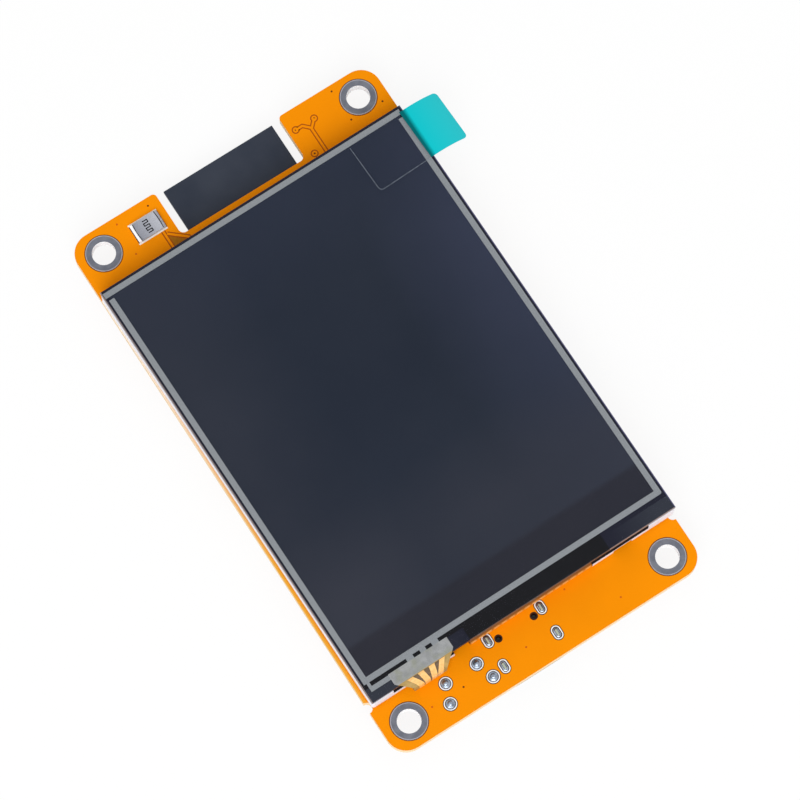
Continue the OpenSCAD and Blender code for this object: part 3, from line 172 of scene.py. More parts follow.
class BoardLook(bpy.types.PropertyGroup):
    """Colours and sizes of the circuit board and what is printed on it."""

    orange: colour("Solder mask", "Orange lacquer over the copper", 243, 142, 1)
    # Painted highlight on the lacquer beside the display's left side
    painted_edge_light: colour("Painted lacquer highlight", "Lacquer painted pale towards the left edge, as a highlight", 222, 178, 72)
    groove: colour("Bare lines", "Lacquer where there is no copper under it", 168, 82, 8)
    patch: colour("Bare patch", "Lacquer between two tracks", 168, 106, 10)
    laminate: colour("Cut edge", "Glass fibre at the board's cut edges", 250, 222, 176)
    # Painted shade inside the peg holes, round the joints' feet and in their hollows
    hollow_shade: colour("Holes", "Dark holes and the outlines of joints", 62, 36, 22)
    legend: colour("Legend", "White printed lines", 244, 240, 234)
    plating: colour("Plating", "Tinned pads round the holes", 108, 111, 122)
    solder: colour("Solder", "Soldered joints", 160, 172, 188)
    leg: colour("Leg ends", "Cut ends of the wide port's legs", 168, 178, 160)
    # Painted highlight colour: the joints' rims, the bores of the holes and the light sensor's left end
    bright: colour("Tin highlight", "Rims of joints and bores of holes", 250, 250, 252)
    rim: colour("Pad rims", "Thin edge of the mounting pads", 168, 168, 176)
    faint: colour("Filled dots", "Dots filled with lacquer", 204, 98, 14)
    outline: colour("Dots and outlines", "Dark dots and the outlines of pads", 110, 58, 12)
    module: colour("Module", "Black lacquer of the radio module", 40, 47, 61)
    glaze: colour("Light sensor", "Glazed ceramic of the light sensor", 166, 169, 181)
    zigzag: colour("Sensor track", "Dark track on the light sensor", 24, 22, 26)
    gold: colour("Gold", "Gold-plated contacts", 226, 186, 96)
    steel: colour("Steel", "Tinned steel sheet", 190, 192, 194)
    track_w: length("Track width", "Width of the copper tracks", 0.32)
    groove_w: length("Bare line width", "Width of the bare line on each side of a track", 0.17)
    pad_d: length("Track pad", "Diameter of the round pad at a track's end", 0.8)
    dot_d: length("Dot diameter", "Diameter of the small plated-through dots", 0.29)


class DisplayLook(bpy.types.PropertyGroup):
    """Colours of the display and its flexes."""

    screen: colour("Screen", "Dark screen seen through the touch panel", 28, 36, 50)
    # Painted sheen on the screen: bluish towards the right and top, greyer towards the left and lower end
    sheen: colour("Sheen", "Paler screen towards its right side", 50, 56, 76)
    painted_pale_sheen: colour("Pale sheen", "Paler screen towards its left side and lower end", 54, 56, 66)
    ledge: colour("Ledge", "Screen over the display's ledge", 31, 30, 38)
    border: colour("Border", "Slate border outside the silver bars", 26, 28, 42)
    black: colour("Black border", "Border in front of the display flex", 15, 16, 20)
    slate: colour("Lower border", "Paler border beside the flexes", 46, 50, 60)
    # Painted highlight along the touch glass's left and lower edges
    edge: colour("Glass edge", "Clear edge of the touch glass", 132, 120, 118)
    blue_edge: colour("Blue edge", "Shaded right edge of the touch glass", 78, 78, 110)
    silver: colour("Silver print", "Silver ink bars", 134, 139, 144)
    bond: colour("Bonded flex", "Flex end seen through the film", 149, 151, 152)
    stain: colour("Glue stain", "Patches of glue under the flex end", 142, 145, 124)
    flex: colour("Flex", "Amber flexible circuit", 224, 132, 28)
    clear_flex: colour("Clear flex", "Flex where no copper is under its cover", 180, 150, 92)
    copper: colour("Flex copper", "Copper strips under the amber cover", 252, 197, 120)
    gap: colour("Flex gaps", "Dark gaps between the copper strips", 116, 97, 78)
    white: colour("Frame", "White backlight frame", 236, 237, 246)
    shade: colour("Slot", "Inside of the slot in the frame", 34, 22, 20)
    teal: colour("Pull tab", "Teal print of the pull tab", 0, 200, 208)
    tape_edge: colour("Tape edge", "Pale edge line of the tab tape", 150, 160, 172)
    led: colour("Backlight", "Backlight LEDs and their strip", 240, 226, 160)
    tape: colour("Black tape", "Tape and driver chip on the glass", 14, 14, 16)
    cell: colour("Display glass", "Glass plates of the display", 70, 84, 92)
    guide: colour("Light guide", "Clear light guide", 214, 222, 222)
    turn: number("Turn", "Turn of the display on the board", math.radians(0.47), subtype="ANGLE")
    film_alpha: number("Films", "How much the clear films hide", 0.02, min=0, max=1, subtype="FACTOR")


class PartLook(bpy.types.PropertyGroup):
    """Colours of the parts on the back."""

    ivory: colour("Sockets", "Moulded wire sockets", 232, 226, 206)
    black: colour("Black moulding", "Inserts and switches", 34, 34, 36)
    chip: colour("Chip moulding", "Chips and small black parts", 40, 40, 42)
    tan: colour("Ceramic", "Fired capacitor bodies", 176, 142, 104)
    foam: colour("Foam tape", "Mounting tape", 200, 200, 198)
    cup: colour("LED cup", "White body of the status LED", 244, 244, 238)
    lens: colour("LED lens", "Yellowish lens of the status LED", 238, 222, 150)
    dome_t: length("Dome sheet", "Thickness of the switches' spring domes", 0.08)


class StageLook(bpy.types.PropertyGroup):
    """Camera and light."""

    camera_at: number("Camera", "Place of the camera", (-0.07582, -0.12607, 0.59451), size=3,
                      subtype="TRANSLATION", unit="LENGTH", precision=5)
    camera_turn: number("Camera turn", "Turn of the camera about X, Y and Z",
                        tuple(math.radians(angle) for angle in (13.941, 0.2104, -32.779)),
                        size=3, subtype="EULER")
    lens: number("Lens", "Focal length on a 36 mm wide sensor", 198.99, min=10, unit="CAMERA")
    ambient: number("Room light", "Strength of the even light from all round", 0.6, min=0)
    key_at: number("Key light", "Place of the large soft lamp", (-0.5, -0.77, 1.13), size=3,
                   subtype="TRANSLATION", unit="LENGTH")
    key_size: number("Key light size", "Width of the large soft lamp", 1.12, min=0, unit="LENGTH")
    key_power: number("Key light power", "Power of the large soft lamp", 16.4, min=0, unit="POWER")


LOOKS = {"tft_board": BoardLook, "tft_display": DisplayLook, "tft_parts": PartLook, "tft_stage": StageLook}


class Nodes:
    """A node tree, with short ways to add to it."""

    def __init__(self, tree):
        self.tree = tree

    def feed(self, socket, value):
        """Links a socket, or sets its constant."""
        if isinstance(value, bpy.types.NodeSocket):
            self.tree.links.new(value, socket)
        elif socket.type == "RGBA":
            socket.default_value = (*tuple(value)[:3], 1)
        else:
            socket.default_value = value

    def add(self, kind, settings=None, inputs=None):
        """Adds a node with its settings and inputs."""
        made = self.tree.nodes.new(kind)
        for key, value in (settings or {}).items():
            setattr(made, key, value)
        for key, value in (inputs or {}).items():
            self.feed(made.inputs[key], value)
        return made

    def math(self, operation, a, b=0.0):
        """One sum on two values."""
        return self.add("ShaderNodeMath", {"operation": operation}, {0: a, 1: b}).outputs[0]

    def both(self, a, b):
        """1 where two masks meet."""
        return self.math("MULTIPLY", a, b)

    def either(self, a, b):
        """1 in one mask or the other."""
        return self.math("MAXIMUM", a, b)

    def span(self, value, low, high, to_low=0.0, to_high=1.0):
        """Spreads the stretch from low to high over another one, held at its ends."""
        return self.add("ShaderNodeMapRange", None, {
            "Value": value, "From Min": low, "From Max": high, "To Min": to_low, "To Max": to_high,
        }).outputs["Result"]

    def seen(self):
        """1 for rays from the camera, off gloss and through glass."""
        rays = self.add("ShaderNodeLightPath").outputs
        indirect = self.either(rays["Is Glossy Ray"], rays["Is Transmission Ray"])
        return self.either(rays["Is Camera Ray"], indirect)


class Finish(Nodes):
    """One procedural material on Object coordinates."""

    sockets = {"metallic": "Metallic", "alpha": "Alpha", "gloss": "Specular IOR Level"}

    def __init__(self, name):
        self.material = bpy.data.materials.new(name)
        self.material.use_nodes = True
        super().__init__(self.material.node_tree)
        self.shader = self.tree.nodes["Principled BSDF"]
        self.place = self.add("ShaderNodeTexCoord").outputs["Object"]

    def noise(self, size, detail=2.0, place=None):
        """Cloudy pattern whose patches are about size across."""
        return self.add("ShaderNodeTexNoise", None, {
            "Vector": place or self.place, "Scale": 1 / (size * MM), "Detail": detail}).outputs["Fac"]

    def specks(self, size):
        """Distance to the nearest of random points, about size apart."""
        return self.add("ShaderNodeTexVoronoi", None, {
            "Vector": self.place, "Scale": 1 / (size * MM)}).outputs["Distance"]

    def spread(self, pattern, low=0.0, high=1.0, half=0.2):
        """Spreads the middle of a cloudy pattern over low to high."""
        return self.span(pattern, 0.5 - half, 0.5 + half, low, high)

    def ramp(self, value, low, high, to_low=0.0, to_high=1.0):
        """Goes from to_low to to_high between two lengths."""
        return self.span(value, low * MM, high * MM, to_low, to_high)

    def over(self, value, limit):
        """1 past a length."""
        return self.math("GREATER_THAN", value, limit * MM)

    def under(self, value, limit):
        """1 before a length."""
        return self.math("LESS_THAN", value, limit * MM)

    def within(self, value, low, high):
        """1 between two lengths."""
        return self.both(self.over(value, low), self.under(value, high))

    def blend(self, factor, a, b):
        """Goes from colour a to colour b."""
        return self.add("ShaderNodeMix", {"data_type": "RGBA"}, {0: factor, 6: a, 7: b}).outputs[2]

    def axes(self, place=None):
        """X, Y and Z of a place."""
        return self.add("ShaderNodeSeparateXYZ", None, {"Vector": place or self.place}).outputs

    def facing(self):
        """How far the surface faces up: 1 up, -1 down."""
        return self.axes(self.add("ShaderNodeNewGeometry").outputs["Normal"])[2]

    def in_display(self, look):
        """Object coordinates in the display's own frame."""
        middle = display_middle()
        return self.add("ShaderNodeMapping", {"vector_type": "TEXTURE"}, {
            "Vector": self.place, "Location": (middle.x, middle.y, 0), "Rotation": (0, 0, look.turn),
        }).outputs["Vector"]

    def bump(self, height, depth, strength):
        """Raises the surface by a pattern."""
        made = self.add("ShaderNodeBump", None, {
            "Height": height, "Distance": depth * MM, "Strength": strength})
        self.feed(self.shader.inputs["Normal"], made.outputs["Normal"])

    def surface(self, base, roughness, **others):
        """Sets the shader's own sockets."""
        self.feed(self.shader.inputs["Base Color"], base)
        self.feed(self.shader.inputs["Roughness"], roughness)
        for key, value in others.items():
            self.feed(self.shader.inputs[self.sockets[key]], value)
        return self.material


def darker(base, share):
    """A colour with only a share of its light."""
    return tuple(share * c for c in base)


def lighter(base, share):
    """A colour moved towards white."""
    return tuple(c + share * (1 - c) for c in base)


def box_mm(name):
    """Lowest and highest corner of a CAD node, in millimetres."""
    return tuple(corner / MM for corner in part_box(name))


def display_middle():
    """Middle of the touch glass, in metres."""
    low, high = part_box("touch_glass")
    return (low + high) / 2


def moulded(name, base, roughness, grain=0.12):
    """Moulded plastic: faint flow marks, a fine grain and uneven gloss."""
    f = Finish(name)
    flow = f.noise(3, 3)
    f.bump(f.noise(grain), 0.02, 0.35)
    tone = f.blend(f.spread(flow), darker(base, 0.86), lighter(base, 0.04))
    return f.surface(tone, f.spread(flow, roughness - 0.06, roughness + 0.06))


def metal_sheet(name, base, roughness, streak=0.25):
    """Rolled and plated sheet: fine streaks along the board and faint clouds."""
    f = Finish(name)
    drawn = f.add("ShaderNodeMapping", None, {"Vector": f.place, "Scale": (1, 0.08, 1)}).outputs["Vector"]
    streaks = f.noise(streak, 3, drawn)
    f.bump(streaks, 0.006, 0.4)
    tone = f.blend(f.spread(f.noise(1.6)), darker(base, 0.93), lighter(base, 0.06))
    return f.surface(tone, f.spread(streaks, roughness - 0.08, roughness + 0.1, 0.25), metallic=1.0)


def plain_ink(name, base, roughness=0.5, spread=0.85, gloss=0.1):
    """Printed or plated film with faint unevenness."""
    f = Finish(name)
    uneven = f.noise(0.4, 3)
    f.bump(uneven, 0.006, 0.3)
    tone = f.blend(f.spread(uneven), darker(base, spread), base)
    return f.surface(tone, f.spread(uneven, roughness - 0.05, roughness + 0.05), gloss=gloss)


def cut_laminate(f, look, across, along):
    """The board's cut edge: straight layers of glass fibre, with painted shade inside the peg holes."""
    layers = f.add("ShaderNodeTexWave", {"bands_direction": "Z"}, {
        "Vector": f.place, "Scale": 1 / (0.9 * MM), "Distortion": 0.4, "Detail": 2.0}).outputs["Fac"]
    cut = f.blend(layers, look.laminate, darker(look.laminate, 0.8))
    for x, y in PEG_HOLES:
        aside = f.math("POWER", f.math("SUBTRACT", across, x * MM), 2.0)
        ahead = f.math("POWER", f.math("SUBTRACT", along, y * MM), 2.0)
        # Painted shade on the walls of the peg holes
        cut = f.blend(f.math("LESS_THAN", f.math("ADD", aside, ahead), (0.6 * MM) ** 2), cut, look.hollow_shade)
    return cut


def solder_mask(look):
    """Orange lacquer with a painted highlight beside the display's left side, and the laminate at the cut
    edges.
    """
    f = Finish("orange solder mask")
    low, high = box_mm("circuit_board")
    skin, face = 0.04, 0.5
    across, along, level = f.axes()
    clouds = f.noise(9, 3)
    fine = f.noise(0.35)
    lacquer = f.blend(f.spread(clouds), look.orange, darker(look.orange, 0.94))
    lacquer = f.blend(f.span(fine, 0.62, 0.8, 0, 0.12), lacquer, darker(look.orange, 0.8))
    # Painted highlight along the left edge beside the display, stronger and paler towards the top
    beside = f.both(f.within(along, SIDE_LOW, SIDE_HIGH), f.over(level, high.z - face))
    growth = f.both(beside, f.ramp(along, SIDE_LOW, SIDE_HIGH, 0.55, 1))
    edge_light_mask = f.both(f.ramp(across, low.x + 0.7, low.x + 0.1), growth)
    painted_edge_light = f.blend(f.ramp(along, -12, 26), look.painted_edge_light, lighter(look.laminate, 0.6))
    lacquer = f.blend(edge_light_mask, lacquer, painted_edge_light)
    side = f.within(level, low.z + skin, high.z - skin)
    f.bump(fine, 0.008, 0.4)
    tone = f.blend(side, lacquer, cut_laminate(f, look, across, along))
    return f.surface(tone, f.spread(clouds, 0.4, 0.5), gloss=0.04)


def module_lacquer(look):
    """Matt black lacquer of the radio module."""
    f = Finish("black module lacquer")
    fine = f.noise(0.2)
    f.bump(fine, 0.006, 0.3)
    tone = f.blend(f.spread(f.noise(6, 3)), darker(look.module, 0.9), lighter(look.module, 0.01))
    return f.surface(tone, f.spread(fine, 0.42, 0.55), gloss=0.2)


def tinned_ring(look):
    """Tinned pads: brushed on top, with a painted highlight that makes the bore near white."""
    f = Finish("tinned pads")
    fine = f.noise(0.15)
    f.bump(fine, 0.006, 0.4)
    clouds = f.spread(f.noise(1.4), half=0.15)
    tone = f.blend(clouds, darker(look.plating, 0.85), lighter(look.plating, 0.03))
    # Painted highlight: the bore's upright faces drawn near white
    bore = f.math("LESS_THAN", f.math("ABSOLUTE", f.facing()), 0.5)
    return f.surface(f.blend(bore, tone, look.bright), f.spread(fine, 0.36, 0.5), gloss=0.2)


def soldered(look):
    """Bright uneven solder, with the cut ends of the wide port's legs in it."""
    f = Finish("bright solder")
    lumps = f.noise(0.5)
    f.bump(lumps, 0.05, 0.5)
    x, _, z = f.axes()
    tone = f.blend(f.spread(lumps, half=0.15), darker(look.solder, 0.55), look.solder)
    leg = f.both(f.over(x, WIDE_PORT_X), f.ramp(z, 0.26, 0.3))
    return f.surface(f.blend(leg, tone, look.leg), f.spread(lumps, 0.16, 0.3),
                     metallic=f.span(leg, 0, 1, 0.85, 0.2))


def screen_tone(f, look, x, y, clouds):
    """The screen inside the bars: a painted sheen at the right and top, a paler painted sheen at the left and
    below, dark over the ledge.
    """
    mottle = f.spread(clouds, 0.7, 1)
    tone = f.blend(f.spread(clouds), darker(look.screen, 0.95), lighter(look.screen, 0.003))
    # Painted sheen towards the right side and the top
    near = f.ramp(f.math("ABSOLUTE", f.math("SUBTRACT", y, 8 * MM)), 0, 30, 1.0, 0.35)
    glow = f.either(f.both(f.ramp(x, 9, 24), near), f.ramp(y, 18, 34, 0, 0.3))
    tone = f.blend(f.both(glow, mottle), tone, look.sheen)
    # Painted paler sheen towards the left side and the lower end
    painted_pale_sheen = f.math("ADD", f.ramp(y, -9, -20, 0, 0.5), f.ramp(x, -7, -21, 0, 0.35))
    tone = f.blend(f.both(painted_pale_sheen, mottle), tone, look.painted_pale_sheen)
    tone = f.blend(f.ramp(y, LEDGE_Y - 0.4, LEDGE_Y + 0.4, 0.6, 0), tone, look.ledge)
    dust = f.span(f.specks(2.6), 0.0, 0.022, 0.3, 0)
    return f.blend(dust, tone, lighter(look.screen, 0.2))


def screen_glass(look):
    """The dark panel under the clear films: screen, slate border, a painted highlight along its left and
    lower edges and painted shade on its right edge.
    """
    f = Finish("dark screen")
    place = f.in_display(look)
    x, y, _ = f.axes(place)
    clouds = f.noise(22, 3, place)
    ends = f.either(f.ramp(x, FLEX_LEFT, FLEX_LEFT - 10), f.ramp(x, FLEX_RIGHT + 1, FLEX_RIGHT + 8))
    border = f.blend(f.both(ends, f.under(y, TABS_Y)), look.border, look.slate)
    flex = f.both(f.within(x, FLEX_LEFT, FLEX_RIGHT), f.under(y, 0))
    slots = f.both(f.under(x, FLEX_LEFT), f.within(y, TABS_Y, BAR_LOW))
    border = f.blend(f.either(flex, slots), border, look.black)
    inside = f.both(f.within(x, -BAR_X, BAR_X), f.within(y, BAR_LOW, BAR_HIGH))
    tone = f.blend(inside, border, screen_tone(f, look, x, y, clouds))
    # Painted highlight: pale lines along the glass's left and lower edges, dimmer in front of the flex
    rim = f.under(x, 0.15 - PANEL_X)
    lip = f.both(f.under(y, 0.08 - PANEL_Y), f.over(x, FLEX_LEFT))
    shine = f.blend(f.both(flex, lip), look.edge, darker(look.edge, 0.3))
    tone = f.blend(f.either(rim, lip), tone, shine)
    right = f.both(f.over(x, PANEL_X - 0.14), f.math("GREATER_THAN", f.facing(), 0.5))
    f.bump(f.noise(0.8, 2, place), 0.002, 0.1)
    return f.surface(f.blend(right, tone, look.blue_edge), f.spread(clouds, 0.3, 0.4), gloss=0.12)


def white_frame(look):
    """White moulding, in deep shade inside the slot over its lower sill."""
    f = Finish("white frame")
    x, y, z = f.axes(f.in_display(look))
    flow = f.noise(3, 3)
    slot = f.both(f.within(x, SLOT_LEFT, SLOT_RIGHT), f.within(y, SLOT_Y + 0.03, SLOT_Y + 1.5))
    plain = f.blend(f.spread(flow), darker(look.white, 0.95), look.white)
    f.bump(f.noise(0.12), 0.01, 0.3)
    tone = f.blend(f.both(slot, f.over(z, 0.5)), plain, look.shade)
    return f.surface(tone, f.spread(flow, 0.45, 0.55), gloss=0.2)


def clear_film(name, base, alpha, roughness):
    """Thin clear film with a faint orange-peel ripple."""
    f = Finish(name)
    ripple = f.noise(2.5)
    f.bump(ripple, 0.01, 0.1)
    f.material.surface_render_method = "BLENDED"
    tone = f.blend(f.spread(ripple), base, lighter(base, 0.01))
    return f.surface(tone, f.spread(ripple, roughness, roughness + 0.1), alpha=alpha, gloss=0.0)


def silver_ink(look):
    """Screen-printed silver ink with a fine mesh grain."""
    f = Finish("printed silver ink")
    grain = f.noise(0.12)
    f.bump(grain, 0.006, 0.3)
    tone = f.blend(f.spread(grain), darker(look.silver, 0.9), lighter(look.silver, 0.05))
    return f.surface(tone, f.spread(f.noise(3), 0.5, 0.6), gloss=0.15)


def display_flex_cover(look):
    """Amber display flex: painted shade making it brown under the glass, lighter copper dashes on the bend.
    """
    f = Finish("amber display flex")
    x, _, z = f.axes(f.in_display(look))
    step = f.math("FRACT", f.math("DIVIDE", x, DASH_PITCH * MM))
    dash = f.both(f.math("LESS_THAN", step, 0.7), f.within(z, 0.7, 1.8))
    # Painted shade: the flex darkens to brown as it tucks under the glass
    tone = f.blend(f.ramp(z, 1.5, 1.95), look.flex, darker(look.flex, 0.28))
    tone = f.blend(f.math("MULTIPLY", dash, 0.45), tone, look.copper)
    clouds = f.noise(0.8, 3)
    f.bump(clouds, 0.01, 0.3)
    tone = f.blend(f.spread(clouds, 0, 0.25), tone, look.gap)
    return f.surface(tone, f.spread(clouds, 0.25, 0.4), gloss=0.25)


def touch_flex_cover(look):
    """Touch flex: grey where it is bonded under the film, clear amber outside."""
    f = Finish("touch flex")
    outside = f.under(f.axes(f.in_display(look))[1], 0.1 - PANEL_Y)
    blotch = f.noise(0.9, 3)
    patches = f.spread(blotch, half=0.15)
    grey = f.blend(patches, darker(look.bond, 0.9), lighter(look.bond, 0.06))
    grey = f.blend(f.span(f.noise(2.2), 0.5, 0.62, 0, 0.5), grey, look.stain)
    amber = f.blend(patches, look.clear_flex, darker(look.clear_flex, 0.75))
    f.bump(blotch, 0.01, 0.3)
    return f.surface(f.blend(outside, grey, amber), f.spread(blotch, 0.28, 0.42), gloss=0.2)


def teal_print(look):
    """Glossy teal film, paler towards the right as painted light, and much darker along its left end."""
    f = Finish("teal film")
    low, high = box_mm("pull_tab")
    x = f.axes()[0]
    clouds = f.noise(2, 3)
    # Painted light: paler towards the right
    tone = f.blend(f.ramp(x, low.x, high.x), darker(look.teal, 0.88), lighter(look.teal, 0.03))
    tone = f.blend(f.ramp(x, low.x + 0.5, low.x + 1.1), darker(look.teal, 0.22), tone)
    f.bump(clouds, 0.02, 0.2)
    return f.surface(tone, f.spread(clouds, 0.32, 0.45), gloss=0.04)


def photocell(look):
    """Grey glazed ceramic of the light sensor, darker towards its left end."""
    f = Finish("glazed light sensor")
    low, high = box_mm("light_sensor")
    grain = f.noise(0.2, 3)
    tone = f.blend(f.ramp(f.axes()[0], low.x, high.x), darker(look.glaze, 0.7), lighter(look.glaze, 0.2))
    f.bump(grain, 0.02, 0.4)
    tone = f.blend(f.spread(grain, 0, 0.3, 0.15), tone, darker(look.glaze, 0.5))
    return f.surface(tone, f.spread(grain, 0.25, 0.4), gloss=0.3)


def sensor_metal(look):
    """Tinned ends of the light sensor: a painted highlight on the left one, dull tin on the right."""
    f = Finish("sensor ends")
    low, high = box_mm("light_sensor")
    # Painted highlight: the left end near white, the right end in its own dull tin
    right = f.over(f.axes()[0], (low.x + high.x) / 2)
    grain = f.noise(0.25, 3)
    dull = f.blend(f.spread(grain, half=0.15), darker(look.rim, 0.7), look.rim)
    f.bump(grain, 0.02, 0.4)
    return f.surface(f.blend(right, look.bright, dull), f.spread(grain, 0.3, 0.45), gloss=0.3)


def pale_floor():
    """White floor that glows for the camera and in reflections, and keeps its shadow."""
    f = Finish("pale floor")
    glow = f.add("ShaderNodeEmission", None, {"Color": WHITE, "Strength": 1.0}).outputs["Emission"]
    f.surface((0.9, 0.9, 0.9), 0.8)
    mixed = f.add("ShaderNodeMixShader", None, {
        0: f.math("MULTIPLY", f.seen(), FLOOR_GLOW), 1: f.shader.outputs["BSDF"], 2: glow})
    f.feed(f.tree.nodes["Material Output"].inputs["Surface"], mixed.outputs["Shader"])
    return f.material


def paint(finish, *nodes):
    """Gives CAD nodes a finish."""
    for name in nodes:
        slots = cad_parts[name].data.materials
        slots.clear()
        slots.append(finish)


def deselect():
    """Leaves nothing selected or in edit mode."""
    if bpy.context.object and bpy.context.object.mode != "OBJECT":
        bpy.ops.object.mode_set(mode="OBJECT")
    bpy.ops.object.select_all(action="DESELECT")


def pick(*pieces):
    """Selects only these pieces, the first one active."""
    deselect()
    for piece in pieces:
        piece.select_set(True)
    bpy.context.view_layer.objects.active = pieces[0]


def name_active(name):
    """Names the active object and its mesh."""
    piece = bpy.context.active_object
    piece.name = name
    piece.data.name = name
    return piece


def apply_modifier(piece, kind, **settings):
    """Adds a modifier and applies it."""
    made = piece.modifiers.new(kind.title(), kind)
    for key, value in settings.items():
        setattr(made, key, value)
    bpy.context.view_layer.objects.active = piece
    bpy.ops.object.modifier_apply(modifier=made.name)


def finish_piece(piece, finish):
    """Applies a piece's place, turns its faces outwards, and gives it its finish and body."""
    pick(piece)
    bpy.ops.object.transform_apply(location=True, rotation=True, scale=True)
    bpy.ops.object.mode_set(mode="EDIT")
    bpy.ops.mesh.select_all(action="SELECT")
    bpy.ops.mesh.normals_make_consistent(inside=False)
    bpy.ops.object.mode_set(mode="OBJECT")
    piece.data.materials.clear()
    piece.data.materials.append(finish)
    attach(piece, ROOT)


def join_pieces(pieces, name):
    """Joins like pieces into one."""
    pick(*pieces)
    if len(pieces) > 1:
        bpy.ops.object.join()
    return name_active(name)


def copies(piece, places, name="copies"):
    """Copies a piece to each place, each copy with its own mesh, and joins them."""
    made = []
    for place in places:
        pick(piece)
        bpy.ops.object.duplicate(linked=False)
        twin = bpy.context.active_object
        twin.location = Vector(place) * MM
        made.append(twin)
    bpy.data.objects.remove(piece)
    pick(*made)
    bpy.ops.object.transform_apply(location=True, rotation=True, scale=True)
    return join_pieces(made, name)


def edge_chain(points):
    """A chain of edges through points, all selected in edit mode."""
    deselect()
    bpy.ops.mesh.primitive_plane_add(size=MM, location=tuple(Vector(points[0]) * MM))
    chain = bpy.context.active_object
    bpy.ops.object.mode_set(mode="EDIT")
    bpy.ops.mesh.select_all(action="SELECT")
    bpy.ops.mesh.merge(type="CENTER")
    for a, b in zip(points, points[1:]):
        step = tuple((q - p) * MM for p, q in zip(a, b))
        bpy.ops.mesh.extrude_vertices_move(TRANSFORM_OT_translate={"value": step})
    bpy.ops.mesh.select_all(action="SELECT")
    return chain


def draw_out(x, y, z):
    """Extrudes what is selected."""
    bpy.ops.mesh.extrude_region_move(TRANSFORM_OT_translate={"value": (x * MM, y * MM, z * MM)})


def ribbon(points, across, thickness, even=False):
    """A thin strip along points: a chain of edges drawn across, then thickened to both sides."""
    strip = edge_chain(points)
    draw_out(*across)
    bpy.ops.object.mode_set(mode="OBJECT")
    apply_modifier(strip, "SOLIDIFY", thickness=thickness * MM, offset=0, use_even_offset=even)
    return strip


def ridge(points, width, height):
    """A raised line along points."""
    return ribbon(points, (0, 0, height), width, even=True)


def plate(points, height):
    """A low plate, grown from one corner."""
    made = edge_chain(points)
    bpy.ops.mesh.edge_face_add()
    draw_out(0, 0, height)
    bpy.ops.object.mode_set(mode="OBJECT")
    return made


def disc(radius, height):
    """A low round button with a bevelled rim."""
    deselect()
    bpy.ops.mesh.primitive_cylinder_add(vertices=24, radius=radius * MM, depth=height * MM,
                                        location=(0, 0, height * MM / 2))
    made = bpy.context.active_object
    apply_modifier(made, "BEVEL", width=height * MM / 3, segments=2)
    return made


def ring(inner, outer, height, reach=0.0):
    """A low flat ring, drawn out to an oval along Y by reach at each end."""
    deselect()
    bpy.ops.mesh.primitive_circle_add(vertices=48, radius=outer * MM, fill_type="NGON")
    made = bpy.context.active_object
    bpy.ops.object.mode_set(mode="EDIT")
    bpy.ops.mesh.select_mode(type="VERT")
    bpy.ops.mesh.select_all(action="SELECT")
    bpy.ops.mesh.inset(thickness=(outer - inner) * MM)
    bpy.ops.mesh.delete(type="FACE")
    bpy.ops.mesh.select_all(action="SELECT")
    draw_out(0, 0, height)
    for side in (1, -1):
        bpy.ops.mesh.select_all(action="DESELECT")
        bpy.ops.object.mode_set(mode="OBJECT")
        for vertex in made.data.vertices:
            vertex.select = vertex.co.y * side > 0
        bpy.ops.object.mode_set(mode="EDIT")
        bpy.ops.transform.translate(value=(0, side * reach * MM, 0))
    bpy.ops.object.mode_set(mode="OBJECT")
    return made


def flat(places, height=0.0):
    """Places on the board as points at one height."""
    return [(x, y, height) for x, y in places]


def on_display(x, y, z, turn):
    """A point of the display's own frame as one of the board's."""
    middle = display_middle() / MM
    spot = Matrix.Rotation(turn, 4, "Z") @ Vector((x, y, z))
    return (middle.x + spot.x, middle.y + spot.y, spot.z)


def front_copper(name, width, pad_r, height):
    """Lines along the front tracks, each a step higher than the last, and a higher disc at each pad."""
    lines = [ridge(flat(path), width, height + i * STEP_T) for i, path in enumerate(FRONT_TRACKS)]
    lines.append(copies(disc(pad_r, height + 6 * STEP_T), flat(TRACK_PADS)))
    return join_pieces(lines, name)


def back_paths():
    """Runs of copper on the back: sockets, card slot, ports and chip to the radio module."""
    runs = []
    for i in range(4):
        rise, shift = 1.25 * i, 0.7 * i
        runs.append(((-19.0, 9.0 + rise), (-15.4 - shift, 9.0 + rise), (-13.2 - shift, 11.2 + rise),
                     (-13.2 - shift, 16.4 + rise), (-10.7 - shift, 18.9 + rise), (-9.8, 18.9 + rise)))
    for i in range(5):
        x, y = 5.57 - CONTACT_PITCH * i, -3.4 - 1.1 * i
        runs.append(((9.5, y), (x + 1.5, y), (x, y + 1.5), (x, 16.7)))
    for i in range(3):
        x = -2.06 - CONTACT_PITCH * i
        runs.append(((x - 1.5, -19.1), (x - 1.5, -6.0), (x, -4.5), (x, 16.7)))
    for i in range(2):
        x = -2.6 + 0.8 * i
        runs.append(((x, -35.2), (x, -32.0), (x - 2.2, -29.8), (x - 2.2, -25.0)))
    runs.append(((-19.0, -6.9), (-15.8, -6.9), (-13.4, -4.5), (-13.4, -0.6), (-12.4, 0.4)))
    runs.append(((-19.0, -5.6), (-16.6, -5.6), (-14.4, -3.4), (-14.4, 0.4), (-12.4, 2.4)))
    runs.append(((12.6, -37.2), (12.6, -33.4), (12.2, -33.0), (12.2, -29.6)))
    return runs


class TFT_OT_paint_board(bpy.types.Operator):
    """Gives the circuit board, its pads and joints their finishes"""

    bl_idname = "object.tft_paint_board"
    bl_label = "Paint board"

    def execute(self, context):
        look = context.scene.tft_board
        paint(solder_mask(look), "circuit_board")
        paint(tinned_ring(look), "plated_holes")
        paint(soldered(look), "solder_joints")
        paint(photocell(look), "light_sensor")
        paint(sensor_metal(look), "light_sensor_ends")
        paint(module_lacquer(look), "radio_board")
        return {"FINISHED"}


